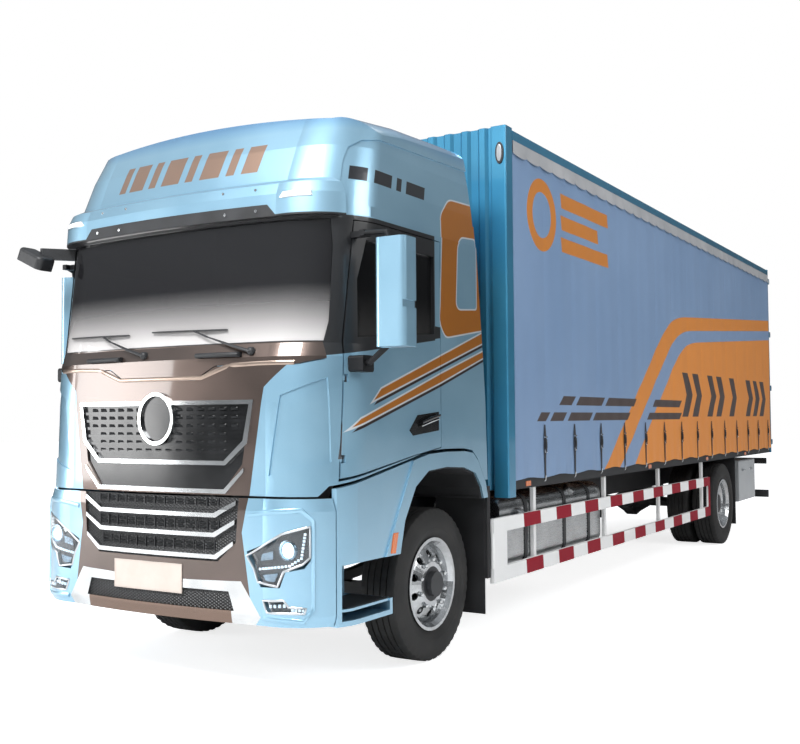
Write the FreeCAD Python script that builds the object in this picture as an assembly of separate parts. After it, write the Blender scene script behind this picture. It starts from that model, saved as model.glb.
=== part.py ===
import FreeCAD, Part
import math
import os
os.makedirs("parts", exist_ok=True)

V = FreeCAD.Vector

# Overall sizes in millimetres. The nose points to -Y, +X is the driver's side, the ground is z = 0.
length = 12000
body_half = 1275
height = 3920
cab_half = 1245
bumper_lead = 80
nose_y = -length / 2
tail_y = length / 2
# Lengthwise places in the cab are counted from this plane, just behind the bumper's foremost point.
face_y = nose_y + bumper_lead

# General clearances: moving gap, round play at pins, and a hair's gap at curved seats.
gap = 6
pin_play = 0.4
hair = 0.3

# Axles and tyres.
front_overhang = 1450
wheelbase = 7550
tyre_radius = 522
tyre_width = 295
rim_radius = 298
front_tyre_x = 1000
kingpin_x = 900
twin_outer_x = 1095
twin_spacing = 330
wheel_sides = 40
axle_z = tyre_radius * math.cos(math.pi / wheel_sides)
front_axle_y = face_y + front_overhang
rear_axle_y = front_axle_y + wheelbase

# Chassis frame.
rail_outer_x = 430
rail_top = 1030
rail_depth = 280
rail_flange = 80
rail_sheet = 8
rail_bottom = rail_top - rail_depth
rail_front_y = face_y + 180
frame_tail_gap = 160
frame_tail_y = tail_y - frame_tail_gap

# Load body.
body_front_y = face_y + 2380
sill_height = 70
bearer_height = 60
deck_sheet = 40
deck_under = rail_top + sill_height
bearer_top = deck_under + bearer_height
deck_top = bearer_top + deck_sheet
post_size = 130
post_foot = 1047
roof_rail_under = height - 90
curtain_foot = 1165
cloth = 8
side_play = 8
rear_post_y = tail_y - 120
rear_post_depth = 50
rear_post_end = rear_post_y + rear_post_depth

# Cab.
cab_wall = 60
skin = 25
cab_length = 2073
cab_foot = 1205
belt_z = 2030
screen_foot = 2110
cab_brow = 2900
cab_floor = 1470
floor_sheet = 50
floor_top = cab_floor + floor_sheet
arc_half = 815
front_bow = 55
seam = 6
tilt_y = face_y + 50
tilt_z = cab_foot + 45
far = 3000


def box(x0, x1, y0, y1, z0, z1):
    return Part.makeBox(x1 - x0, y1 - y0, z1 - z0, V(x0, y0, z0))


def cyl(radius, start, end):
    line = V(*end) - V(*start)
    return Part.makeCylinder(radius, line.Length, V(*start), line)


def prism_x(points, x0, x1):
    ring = [V(x0, y, z) for y, z in points]
    return Part.Face(Part.makePolygon(ring + ring[:1])).extrude(V(x1 - x0, 0, 0))


def prism_y(points, y0, y1):
    ring = [V(x, y0, z) for x, z in points]
    return Part.Face(Part.makePolygon(ring + ring[:1])).extrude(V(0, y1 - y0, 0))


def prism_z(points, z0, z1):
    ring = [V(x, y, z0) for x, y in points]
    return Part.Face(Part.makePolygon(ring + ring[:1])).extrude(V(0, 0, z1 - z0))


def from_face(points):
    # Side outlines are written as (distance behind the face plane, height).
    return [(face_y + y, z) for y, z in points]


def both_ways(points):
    # The left half of an outline, given from the middle line outwards, becomes the whole outline.
    return points + [(-x, z) for x, z in reversed(points)]


def mirrored(shape):
    return shape.mirror(V(0, 0, 0), V(1, 0, 0))


def fused(shapes):
    first = shapes[0]
    if len(shapes) > 1:
        first = first.multiFuse(shapes[1:])
    return first.removeSplitter()


def both_sides(shape):
    return Part.Compound([shape, mirrored(shape)])


def rounded(shape, radius, along):
    # Rounds the straight edges that run along one axis: 0 is X, 1 is Y and 2 is Z.
    picked = []
    for edge in shape.Edges:
        ends = edge.Vertexes
        if len(ends) == 2:
            line = ends[1].Point - ends[0].Point
            parts = [abs(line.x), abs(line.y), abs(line.z)]
            if parts[along] > 0.98 * line.Length:
                picked.append(edge)
    return shape.makeFillet(radius, picked)


def save(name, shape):
    solids = shape.Solids
    out = solids[0] if len(solids) == 1 else Part.Compound(solids)
    out.exportStep("parts/" + name + ".step")


def turned(points, place):
    # A closed outline of (radius, along) points turned about an axis along X, in flat sides like a lathe's facets.
    rings = []
    for radius, along in points:
        angles = [2 * math.pi * (i + 0.5) / wheel_sides for i in range(wheel_sides)]
        rings.append([V(along, radius * math.sin(a), -radius * math.cos(a)) for a in angles])
    faces = []
    for ring, after in zip(rings, rings[1:] + rings[:1]):
        for i in range(wheel_sides):
            k = (i + 1) % wheel_sides
            corners = [ring[i], ring[k], after[k], after[i]]
            kept = [c for n, c in enumerate(corners) if (c - corners[n - 1]).Length > 0.001]
            if len(kept) > 2:
                faces.append(Part.Face(Part.makePolygon(kept + kept[:1])))
    shell = Part.makeShell(faces)
    solid = Part.makeSolid(shell)
    if solid.Volume < 0:
        solid.reverse()
    solid.translate(V(*place))
    return solid


def pipe(points, radius):
    pieces = [cyl(radius, a, b) for a, b in zip(points, points[1:])]
    pieces += [Part.makeSphere(radius, V(*p)) for p in points[1:-1]]
    return fused(pieces)


def plan_ring(z, half, front, corner, back):
    # The truck's nose seen from above at one height: a bowed front, large round corners, straight sides.
    f = face_y + front
    b = f + front_bow
    side = b + corner
    rear = face_y + back
    mid = V(arc_half + (half - arc_half) * 0.707, b + corner * 0.293, z)
    left = V(-mid.x, mid.y, z)
    p = [V(-arc_half, b, z), V(0, f, z), V(arc_half, b, z), V(half, side, z), V(half, rear, z), V(-half, rear, z),
         V(-half, side, z)]
    return Part.Wire([Part.Arc(p[0], p[1], p[2]).toShape(), Part.Arc(p[2], mid, p[3]).toShape(),
                      Part.makeLine(p[3], p[4]), Part.makeLine(p[4], p[5]), Part.makeLine(p[5], p[6]),
                      Part.Arc(p[6], left, p[0]).toShape()])


def nose_form(levels, inset):
    # Levels are (height, half width, front, corner depth, back); the inset moves every wall inwards.
    rings = [plan_ring(z, half - inset, front + inset, corner - inset, back - inset)
             for z, half, front, corner, back in levels]
    return Part.makeLoft(rings, True, True)


# The tyres and rims. The rim's flange stands in the tyre's bead.
tread_half = tyre_width / 2 - 32
shoulder_height = 60
bead_rise = 27
bead_half = tyre_width / 2 - 30
flange_height = 18
flange_width = 12
barrel_drop = 38
barrel_sheet = 12
disc_sheet = 12
hub_radius = 85
hub_nose = 40
bore_radius = 30
bolt_circle_radius = 150
hand_holes = 10
hand_hole_radius = 26
hand_hole_circle = 205
drum_radius = 200
drum_back = 60


def tyre(x):
    half = tyre_width / 2
    rise = rim_radius + flange_height
    one_side = [(rim_radius, bead_half), (rise, bead_half), (rise + 4, bead_half + flange_width), (rise + bead_rise, half),
                (tyre_radius - shoulder_height, half), (tyre_radius, tread_half)]
    outline = one_side + [(r, -a) for r, a in reversed(one_side)]
    return turned(outline, (x, 0, 0))


def rim(x, disc_at, dish):
    lip = bead_half + flange_width
    rise = rim_radius + flange_height
    outer = [(rise, lip), (rise, bead_half), (rim_radius, bead_half), (rim_radius - barrel_drop + barrel_sheet, 0)]
    outer += [(r, -a) for r, a in reversed(outer[:-1])]
    inner = [(rim_radius - 4, lip), (rim_radius - 30, bead_half - 20), (rim_radius - barrel_drop, 0)]
    inner += [(r, -a) for r, a in reversed(inner[:-1])]
    barrel = turned(outer + inner[::-1], (x, 0, 0))
    edge = rim_radius - barrel_drop + 4
    disc = [(edge, disc_at), (edge - 50, disc_at + dish * 0.5), (bolt_circle_radius, disc_at + dish),
            (bore_radius, disc_at + dish), (bore_radius, disc_at + dish - disc_sheet),
            (bolt_circle_radius, disc_at + dish - disc_sheet), (edge - 52, disc_at + dish * 0.5 - disc_sheet),
            (edge, disc_at - disc_sheet)]
    body = barrel.fuse(turned(disc, (x, 0, 0)))
    for i in range(hand_holes):
        a = 2 * math.pi * (i + 0.5) / hand_holes
        y, z = hand_hole_circle * math.cos(a), hand_hole_circle * math.sin(a)
        body = body.cut(cyl(hand_hole_radius, (x - tyre_width, y, z), (x + tyre_width, y, z)))
    return body


def on_axle(shape, axle_y):
    out = shape.copy()
    out.translate(V(0, axle_y, axle_z))
    return out


def axle_cyl(radius, x0, x1, axle_y):
    return cyl(radius, (x0, axle_y, axle_z), (x1, axle_y, axle_z))


disc_at = 60
front_dish = 62
rear_dish = -90
stub_radius = 32
drum_in_x = kingpin_x + 75
drum_out_x = front_tyre_x + disc_at
hub_face_x = front_tyre_x + disc_at + front_dish
front_rim = on_axle(rim(front_tyre_x, disc_at, front_dish), front_axle_y)
front_tyre = on_axle(tyre(front_tyre_x), front_axle_y)
front_hub = fused([axle_cyl(hub_radius, drum_in_x, hub_face_x + hub_nose, front_axle_y),
                   axle_cyl(drum_radius, drum_in_x, drum_out_x, front_axle_y)])
front_wheel = fused([front_rim, front_hub])
front_wheel = front_wheel.cut(axle_cyl(stub_radius + pin_play, drum_in_x, drum_out_x, front_axle_y))
twin_inner_x = twin_outer_x - twin_spacing
twin_mid_x = (twin_outer_x + twin_inner_x) / 2
outer_rim = on_axle(rim(twin_outer_x, disc_at, rear_dish), rear_axle_y)
inner_rim = on_axle(rim(twin_inner_x, -disc_at, -rear_dish), rear_axle_y)
outer_tyre = on_axle(tyre(twin_outer_x), rear_axle_y)
inner_tyre = on_axle(tyre(twin_inner_x), rear_axle_y)
rear_drum_x = twin_inner_x - drum_back
rear_hub_radius = hub_radius + 50
spindle_radius = stub_radius + 18
spindle_end_x = twin_mid_x + 50
rear_hub = fused([axle_cyl(rear_hub_radius, twin_inner_x, twin_outer_x + 70, rear_axle_y),
                  axle_cyl(drum_radius, rear_drum_x, twin_mid_x - 60, rear_axle_y)])
spindle_hole = axle_cyl(spindle_radius + pin_play, rear_drum_x, spindle_end_x + gap, rear_axle_y)
rear_wheel = fused([outer_rim, inner_rim, rear_hub]).cut(spindle_hole)
save("tyre_front_left", front_tyre)
save("tyre_front_right", mirrored(front_tyre))
save("rim_front_left", front_wheel)
save("rim_front_right", mirrored(front_wheel))
save("tyres_rear_left", Part.Compound([outer_tyre, inner_tyre]))
save("tyres_rear_right", mirrored(Part.Compound([outer_tyre, inner_tyre])))
save("rims_rear_left", rear_wheel)
save("rims_rear_right", mirrored(rear_wheel))

# Knuckles turn on kingpins in the eyes of the dropped beam.
boss_radius = 42
boss_half = 110
kingpin_radius = 24
eye_half = 60
ear_z = eye_half + gap
yoke_x = kingpin_x + boss_radius + gap
yoke_back = drum_in_x - gap
yoke_half = 40
stub_end_x = drum_out_x - gap


def kingpin_cyl(radius, z0, z1):
    return cyl(radius, (kingpin_x, front_axle_y, axle_z + z0), (kingpin_x, front_axle_y, axle_z + z1))


ears = []
for z0, z1 in ((-boss_half, -ear_z), (ear_z, boss_half)):
    ears.append(kingpin_cyl(boss_radius, z0, z1))
    ears.append(box(kingpin_x, yoke_back, front_axle_y - yoke_half, front_axle_y + yoke_half, axle_z + z0, axle_z + z1))
yoke_plate = box(yoke_x, yoke_back, front_axle_y - yoke_half, front_axle_y + yoke_half,
                 axle_z - boss_half, axle_z + boss_half)
knuckle = fused(ears + [yoke_plate, kingpin_cyl(kingpin_radius, -boss_half, boss_half),
                        axle_cyl(stub_radius, yoke_x, stub_end_x, front_axle_y)])
save("knuckle_left", knuckle)
save("knuckle_right", mirrored(knuckle))

beam_width = 90
beam_depth = 100
beam_drop = 130
perch_x = rail_outer_x + 60
beam_half = [(perch_x, axle_z - beam_drop + beam_depth), (kingpin_x, axle_z + 40), (kingpin_x, axle_z - 40),
             (perch_x + 60, axle_z - beam_drop)]
beam = prism_y(both_ways(beam_half), front_axle_y - beam_width / 2, front_axle_y + beam_width / 2)
eye = kingpin_cyl(boss_radius, -eye_half, eye_half)
clear_radius = boss_radius + gap
ear_room = kingpin_cyl(clear_radius, ear_z - gap, boss_half + far).fuse(
    kingpin_cyl(clear_radius, -boss_half - far, -ear_z + gap))
kingpin_hole = kingpin_cyl(kingpin_radius + pin_play, -far, far)
beam = beam.fuse([eye, mirrored(eye)])
beam = beam.cut([ear_room, mirrored(ear_room), kingpin_hole, mirrored(kingpin_hole)])
save("front_axle", beam.removeSplitter())

axle_tube = 62
diff_radius = 190
diff_face = 60
pinion_length = 90
tube_end = rear_drum_x - gap
half_axle = [(0, spindle_end_x), (spindle_radius, spindle_end_x), (spindle_radius, tube_end), (axle_tube, tube_end),
             (axle_tube, diff_radius + diff_face), (diff_radius * 0.75, diff_radius * 0.6), (diff_radius, diff_face)]
rear_axle = turned(half_axle + [(r, -a) for r, a in reversed(half_axle)], (0, rear_axle_y, axle_z))
pinion_y = rear_axle_y - diff_radius - pinion_length
rear_axle = rear_axle.fuse(cyl(80, (0, pinion_y, axle_z), (0, rear_axle_y - diff_face, axle_z)))
save("rear_axle", rear_axle.removeSplitter())

# Ladder frame: two channel rails, cross members, the bumper's carriers and the cab's tilt brackets.
web = rail_sheet
rail_points = [(rail_outer_x, rail_bottom), (rail_outer_x, rail_top), (rail_outer_x - rail_flange, rail_top),
               (rail_outer_x - rail_flange, rail_top - web), (rail_outer_x - web, rail_top - web),
               (rail_outer_x - web, rail_bottom + web), (rail_outer_x - rail_flange, rail_bottom + web),
               (rail_outer_x - rail_flange, rail_bottom)]
rail = prism_y(rail_points, rail_front_y, frame_tail_y)
member_half = 40
member_inset = 60
members_y = [rail_front_y + member_half, face_y + 2600, face_y + 4300, face_y + 6300, rear_axle_y - 800,
             rear_axle_y + 800, frame_tail_y - member_half]
members = [box(-rail_outer_x + web, rail_outer_x - web, y - member_half, y + member_half,
               rail_bottom + member_inset, rail_top - member_inset) for y in members_y]
sill = box(rail_outer_x - rail_flange, rail_outer_x, body_front_y + 42, frame_tail_y, rail_top, deck_under)
tilt_pin_radius = 20
tilt_boss_radius = 32
bracket_in_x = rail_outer_x - rail_flange
bracket_out_x = bracket_in_x + 40
lug_out_x = bracket_out_x + gap + 36
bracket_points = [(tilt_y - tilt_boss_radius + 4, tilt_z - 16), (tilt_y + 10, tilt_z + tilt_boss_radius - 2),
                  (rail_front_y + 260, rail_top), (rail_front_y, rail_top)]
bracket = fused([prism_x(bracket_points, bracket_in_x, bracket_out_x),
                 cyl(tilt_boss_radius, (bracket_in_x, tilt_y, tilt_z), (bracket_out_x, tilt_y, tilt_z)),
                 cyl(tilt_pin_radius, (bracket_in_x, tilt_y, tilt_z), (lug_out_x, tilt_y, tilt_z))])

# Bumper skin: a bowed shell that wraps to the sides. Behind its top lip is room for the cab's swing.
bumper_foot = 453
bumper_top = cab_foot - 12
bumper_crease = 1120
bumper_wall = 38
trim_rise = 9
bumper_face = trim_rise - bumper_lead
bumper_corner = 360
bumper_rear_y = face_y + 185
lip_sheet = 16
lip_floor = tilt_z - 130
bumper_levels = [(bumper_foot, cab_half - 12, bumper_face + 12, bumper_corner, 1000),
                 (bumper_foot + 60, cab_half, bumper_face, bumper_corner, 1000),
                 (bumper_crease, cab_half, bumper_face, bumper_corner, 1000),
                 (bumper_top, cab_half - 15, bumper_face + 6, bumper_corner + 30, 1000)]


def bumper_form(inset):
    return nose_form(bumper_levels, inset)


def bumper_layer(outer, inner):
    front_part = box(-far, far, nose_y - far, bumper_rear_y, 0, far)
    return bumper_form(outer).cut(bumper_form(inner)).common(front_part)


swing_room = bumper_form(lip_sheet).common(box(-far, far, nose_y, bumper_rear_y + far, lip_floor, cab_foot + 100))
bumper_shell = bumper_layer(0, bumper_wall).cut(swing_room)


def front_zone(points):
    return prism_y(points, nose_y - 200, face_y + 400)


def both_zones(points):
    zone = front_zone(points)
    return zone.fuse(mirrored(zone))


centre_zone = front_zone(both_ways([(718, bumper_top + 20), (672, 990), (752, bumper_foot)]))
mesh_zone = front_zone(both_ways([(650, bumper_top + 20), (630, 930), (500, 812)]))
intake_zone = front_zone(both_ways([(578, 640), (617, 528)]))
skirt_zone = front_zone(both_ways([(279, 693), (666, 704), (800, 503), (760, bumper_foot)])).cut(intake_zone)
lamp_points = [(1096, 1040), (1098, 840), (1069, 794), (968, 773), (934, 681), (800, 678), (706, 881), (875, 949),
               (959, 1005)]
lamp_zone = both_zones(lamp_points)
fog_points = [(815, 609), (968, 607), (985, 572), (1076, 570), (1064, 529), (853, 530)]
fog_zone = both_zones(fog_points)
mesh_depth = 16
bars = [[(633, 1177), (489, 1073)], [(627, 1063), (484, 956)], [(616, 937), (497, 826)]]
bar_height = 26


def u_bar(tip, corner):
    # One bright bar of the grille: level in the middle, rising at its ends.
    up = bar_height
    low = [(corner[0], corner[1]), (tip[0], tip[1] - up)]
    high = [(tip[0], tip[1]), (corner[0] - up / 2, corner[1] + up)]
    return front_zone(both_ways(list(reversed(low + high))))


bar_zone = fused([u_bar(*bar) for bar in bars])
bright = bumper_form(-trim_rise).cut(bumper_form(mesh_depth)).common(bar_zone).cut(swing_room)
mesh = bumper_layer(mesh_depth, bumper_wall).cut(swing_room)
mesh = mesh.fuse(bumper_layer(mesh_depth - 6, mesh_depth).common(box(-far, far, nose_y, face_y + 100, lip_floor, far)))
bumper_centre = bumper_shell.common(centre_zone).cut(mesh_zone).cut(intake_zone).cut(skirt_zone).cut(bright)
lower_mesh = mesh.common(mesh_zone).fuse(mesh.common(intake_zone)).cut(bright)
save("bumper_centre", bumper_centre)
save("lower_grille", lower_mesh)
save("bumper_trim", Part.Compound([bright, bumper_shell.common(skirt_zone)]))
save("bumper_corners", bumper_shell.cut(centre_zone.fuse(skirt_zone)).cut(lamp_zone).cut(fog_zone))
save("headlamps", bumper_shell.common(lamp_zone).cut(centre_zone).fuse(bumper_shell.common(fog_zone).cut(skirt_zone)))
beam_sheet = 75
carrier_foot = rail_bottom + 50
carrier_top = rail_top - 70
carrier = box(bracket_in_x - 60, rail_outer_x, nose_y, rail_front_y - beam_sheet, carrier_foot, carrier_top)
carrier = carrier.common(bumper_form(bumper_wall))
front_beam = box(-rail_outer_x - 60, rail_outer_x + 60, rail_front_y - beam_sheet, rail_front_y, carrier_foot, carrier_top)
frame_rail = fused([rail, bracket, sill])
save("frame_rails", both_sides(frame_rail))
save("cross_members", Part.Compound(members + [fused([front_beam, carrier, mirrored(carrier)])]))

# Leaf springs: curved leaves under each rail, with hangers.
leaf_half = 35
leaf_sheet = 22
leaf_step = 0.22
spring_span = 1500
hanger_half = 40
eye_drop = 45
seat_height = 6
u_bolt_half = 60


def leaf_spring(centre_y, seat_z, leaves):
    end_z = rail_bottom - eye_drop
    x = rail_outer_x - rail_flange / 2
    top_z = seat_z + (leaves - 1) * leaf_sheet
    pieces = []
    for i in range(leaves):
        share = 1 - leaf_step * i
        half = spring_span / 2 * share
        z = top_z - i * leaf_sheet
        rise = (end_z - top_z) * share ** 2
        a = V(x - leaf_half, centre_y - half, z + rise)
        b = V(x - leaf_half, centre_y, z)
        c = V(x - leaf_half, centre_y + half, z + rise)
        up = V(0, 0, leaf_sheet)
        low = Part.Arc(a, b, c).toShape()
        high = Part.Arc(c + up, b + up, a + up).toShape()
        ring = Part.Wire([low, Part.makeLine(c, c + up), high, Part.makeLine(a + up, a)])
        pieces.append(Part.Face(ring).extrude(V(2 * leaf_half, 0, 0)))
    for end in (-1, 1):
        y = centre_y + end * spring_span / 2
        pieces.append(box(x - leaf_half, x + leaf_half, y - hanger_half, y + hanger_half, end_z - 10, rail_bottom))
    pieces.append(box(x - leaf_half, x + leaf_half, centre_y - u_bolt_half, centre_y + u_bolt_half,
                      seat_z - seat_height, top_z + leaf_sheet))
    return fused(pieces)


front_spring = leaf_spring(front_axle_y, axle_z - beam_drop + beam_depth + seat_height, 3)
rear_spring = leaf_spring(rear_axle_y, axle_z + axle_tube + seat_height, 4)
save("leaf_springs", Part.Compound([front_spring, mirrored(front_spring), rear_spring, mirrored(rear_spring)]))

# Engine block, gearbox housing and the shaft to the rear axle.
engine_front_y = face_y + 620
engine_length = 1350
engine_rear_y = engine_front_y + engine_length
engine_half = bracket_in_x - 10
engine_foot = 640
engine_top = cab_floor - 60
shaft_z = 850
gearbox_length = 900
save("engine", box(-engine_half, engine_half, engine_front_y, engine_rear_y, engine_foot, engine_top))
gearbox_rear_y = engine_rear_y + gearbox_length
gearbox = Part.makeCone(250, 130, gearbox_length, V(0, engine_rear_y, shaft_z), V(0, 1, 0))
bearing_y = members_y[3]
bearing_z = rail_bottom - 20
shaft_line = [(0, gearbox_rear_y - 20, shaft_z), (0, bearing_y, bearing_z), (0, pinion_y, axle_z)]
bearing = box(-90, 90, bearing_y - 30, bearing_y + 30, bearing_z - 40, rail_bottom + member_inset)
save("drive_line", fused([gearbox, pipe(shaft_line, 55), bearing]).cut(members).cut(rear_axle))

# Deck: cross bearers on the rails' sills, side rails and the boards.
post_in = body_half - post_size
side_rail_x = body_half - 30
side_rail = box(side_rail_x - 60, side_rail_x, body_front_y + 42, rear_post_y, deck_under, bearer_top)
bearer_count = 14
bearer_start = body_front_y + 230
bearer_pitch = (rear_post_y - 230 - bearer_start) / (bearer_count - 1)
bearer_half = 30
bearers = [box(-side_rail_x + 60, side_rail_x - 60, bearer_start + i * bearer_pitch - bearer_half,
               bearer_start + i * bearer_pitch + bearer_half, deck_under, bearer_top) for i in range(bearer_count)]
boards = box(-side_rail_x, side_rail_x, body_front_y + 42, rear_post_y, bearer_top, deck_top)
front_post = box(body_half - post_size, body_half, body_front_y, body_front_y + post_size, post_foot, height)
rear_sill = box(-post_in, post_in, rear_post_y, rear_post_end, deck_under, deck_top)
deck = fused([boards, side_rail, mirrored(side_rail), rear_sill] + bearers)
deck = deck.cut([front_post, mirrored(front_post)])
save("deck", deck)

# Front wall: a ribbed sheet between two corner posts.
wall_y = body_front_y + 30
wall_sheet = 12
rib_depth = 22
rib_count = 15
rib_pitch = 2 * post_in / rib_count
wall_line = [(-post_in, wall_y)]
for i in range(rib_count):
    x = -post_in + i * rib_pitch
    wall_line += [(x + rib_pitch * 0.2, wall_y), (x + rib_pitch * 0.35, wall_y - rib_depth),
                  (x + rib_pitch * 0.65, wall_y - rib_depth), (x + rib_pitch * 0.8, wall_y)]
wall_line += [(post_in, wall_y), (post_in, wall_y + wall_sheet), (-post_in, wall_y + wall_sheet)]
wall_sheet_solid = prism_z(wall_line, deck_under, height)
save("front_wall", fused([wall_sheet_solid, rounded(front_post, 12, 2), mirrored(rounded(front_post, 12, 2))]))

# Roof: a crowned sheet with deep side rails; the bows under it carry the sheet.
roof_crown = 18
roof_sheet = 27
roof_rail = 60
roof_y0 = body_front_y + post_size
edge_z = height - roof_crown
roof_half = [(0, height), (body_half, edge_z), (body_half, roof_rail_under), (body_half - roof_rail, roof_rail_under),
             (body_half - roof_rail, edge_z - roof_sheet)]
roof_points = roof_half + [(0, height - roof_sheet)] + [(-x, z) for x, z in reversed(roof_half[1:])]
roof = prism_y(roof_points, roof_y0, rear_post_y)
roof_front = box(-post_in, post_in, wall_y + wall_sheet, roof_y0, height - 60, height - roof_crown)
header = box(-post_in, post_in, rear_post_y, rear_post_end, height - 110, height)
save("body_roof", fused([roof, roof_front, header]))

# Curtains hang between the posts; a scalloped valance covers their top edge.
curtain_y0 = roof_y0 + side_play
curtain_y1 = rear_post_y - side_play
curtain_x1 = body_half - 8
curtain = box(curtain_x1 - cloth, curtain_x1, curtain_y0, curtain_y1, curtain_foot, roof_rail_under)
save("curtain_left", curtain)
save("curtain_right", mirrored(curtain))
scallops = 26
scallop_pitch = (curtain_y1 - curtain_y0) / scallops
valance_drop = 95
scallop_dip = 28
wire = [Part.makeLine(V(curtain_x1, curtain_y1, roof_rail_under - valance_drop), V(curtain_x1, curtain_y1, roof_rail_under)),
        Part.makeLine(V(curtain_x1, curtain_y1, roof_rail_under), V(curtain_x1, curtain_y0, roof_rail_under)),
        Part.makeLine(V(curtain_x1, curtain_y0, roof_rail_under), V(curtain_x1, curtain_y0, roof_rail_under - valance_drop))]
for i in range(scallops):
    y = curtain_y0 + i * scallop_pitch
    z = roof_rail_under - valance_drop
    wire.append(Part.Arc(V(curtain_x1, y, z), V(curtain_x1, y + scallop_pitch / 2, z - scallop_dip),
                         V(curtain_x1, y + scallop_pitch, z)).toShape())
valance = Part.Face(Part.Wire(Part.__sortEdges__(wire))).extrude(V(body_half - curtain_x1, 0, 0))
save("valances", both_sides(valance))

# Rear frame and the two doors, which swing right round on pins outside the posts.
pin_radius = 7
knuckle_radius = 14
hinge_y = tail_y - knuckle_radius
hinge_x = body_half - knuckle_radius
knuckle_half = 25
lug_sheet = 12
lug_gap = 3
door_leaf = 36
leaf_y0 = rear_post_end + gap
leaf_y1 = leaf_y0 + door_leaf
leaf_x1 = hinge_x - 26
leaf_top = height - 30
leaf_foot = deck_under + 10
pin_heights = [leaf_foot + 150 + i * (leaf_top - leaf_foot - 300) / 3 for i in range(4)]
rear_post = box(post_in, body_half - 10, rear_post_y, rear_post_end, deck_under, height)
pin_end = knuckle_half + lug_gap + lug_sheet
hinge_parts = []
door_parts = [box(gap / 2, leaf_x1, leaf_y0, leaf_y1, leaf_foot, leaf_top)]
pin_holes = []
for z in pin_heights:
    hinge_parts.append(cyl(pin_radius, (hinge_x, hinge_y, z - pin_end), (hinge_x, hinge_y, z + pin_end)))
    for z0 in (z - pin_end, z + pin_end - lug_sheet):
        hinge_parts.append(box(hinge_x - 10, hinge_x + 10, rear_post_end - 10, hinge_y + 8, z0, z0 + lug_sheet))
    door_parts.append(box(leaf_x1 - 240, hinge_x, leaf_y1, leaf_y1 + 8, z - knuckle_half, z + knuckle_half))
    door_parts.append(cyl(knuckle_radius, (hinge_x, hinge_y, z - knuckle_half), (hinge_x, hinge_y, z + knuckle_half)))
    pin_holes.append(cyl(pin_radius + pin_play, (hinge_x, hinge_y, z - pin_end), (hinge_x, hinge_y, z + pin_end)))
for x in (220, 820):
    rod_y = leaf_y1 + 14
    door_parts.append(cyl(13, (x, rod_y, leaf_foot + 20), (x, rod_y, leaf_top - 20)))
    for z in (leaf_foot + 60, (leaf_foot + leaf_top) / 2, leaf_top - 60):
        door_parts.append(box(x - 30, x + 30, leaf_y1, rod_y, z - 20, z + 20))
    door_parts.append(box(x - 15, x + 200, rod_y - 4, rod_y + 8, 1500, 1525))
rear_post = fused([rear_post] + hinge_parts)
rear_door = fused(door_parts).cut(pin_holes)
save("rear_posts", both_sides(rear_post))
save("rear_door_left", rear_door)
save("rear_door_right", mirrored(rear_door))

# Cab body: bowed plan rings joined by a loft, then hollowed and split where the panels meet.
cab_levels = [(cab_foot, cab_half, -45, 390, cab_length), (1757, cab_half, -45, 465, 2050),
              (belt_z, cab_half, -28, 490, 2025), (screen_foot, cab_half, 0, 490, 2016),
              (cab_brow, cab_half, 100, 460, 1922)]


def cab_form(inset):
    return nose_form(cab_levels, inset)


def cab_layer(outer, inner):
    return cab_form(outer).cut(cab_form(inner))


def side_zone(points):
    return prism_x(from_face(points), cab_half - 350, far)


cab_outer = cab_form(0)
cab_room = cab_form(cab_wall)
room = cab_room.common(box(-far, far, nose_y, tail_y, floor_top, cab_brow))
under = cab_room.common(box(-far, far, nose_y, tail_y, 0, cab_floor))
arch_line = from_face([(-300, 0), (-300, cab_foot), (120, cab_foot), (170, 1264), (1000, 1405), (1195, 1440),
                       (1424, 1448), (1704, 1444), (1832, 1427), (1914, 1364), (2034, 1203), (2090, 1120), (2090, 0)])
arch_cut = prism_x(arch_line, -far, far)
screen_low = screen_foot + 12
screen_top = cab_brow - 35
screen_zone = front_zone(both_ways([(1108, screen_low), (1125, screen_low + 120), (1122, 2700), (1105, screen_top)]))
hinge_line = (247, 1420)
hinge_lean = 0.069
door_edge = 6
door_rear = 1370
door_top = cab_brow - 40
pillar_top = 392
pillar_foot = belt_z + 100
sill_low = 1306
sill_mid = 1417
sill_high = 1462


def hinge_y_at(z):
    # The door's hinge axis leans back, along its front edge.
    return hinge_line[0] + (z - hinge_line[1]) * hinge_lean


def edge_at(z):
    return hinge_y_at(z) - door_edge


door_outline = [(edge_at(sill_low), sill_low), (1000, sill_mid), (door_rear, sill_high), (door_rear, door_top),
                (pillar_top, door_top), (edge_at(pillar_foot), pillar_foot)]
opening_outline = [(edge_at(sill_low) - 2 * seam, sill_low - 3 * seam), (1000, sill_mid - seam),
                   (door_rear + seam, sill_high - seam), (door_rear + seam, door_top + seam),
                   (pillar_top - seam, door_top + seam), (edge_at(pillar_foot) - 2 * seam, pillar_foot)]
door_zone = side_zone(door_outline)
opening_zone = side_zone(opening_outline)
panel_half = [(706, cab_foot), (800, 1850), (1000, belt_z)]
panel_zone = front_zone(both_ways(list(reversed(panel_half))))
panel_rear_y = face_y + 186
below_belt = box(-far, far, nose_y - 100, panel_rear_y, 0, belt_z)
skin_layer = cab_layer(0, skin).common(below_belt).cut(arch_cut)
cowl_zone = front_zone(both_ways([(1180, screen_low - 6), (1180, belt_z), (1000, 1985), (444, 1985), (297, 1905)]))
cowl_seam_zone = front_zone(both_ways([(1186, screen_low), (1186, belt_z - 8), (1000, 1979), (446, 1979), (300, 1899)]))
front_half = box(-far, far, nose_y - 100, panel_rear_y, 0, far)
cowl_layer = cab_layer(0, skin).common(cowl_zone).common(front_half)
panel_seat = skin_layer.fuse(cowl_layer)
grille_half = [(718, 1757), (675, 1521), (655, 1390), (528, 1240)]
grille_zone = front_zone(both_ways(grille_half))
frame_half_outer = [(736, 1775), (694, 1516), (540, 1384)]
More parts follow.
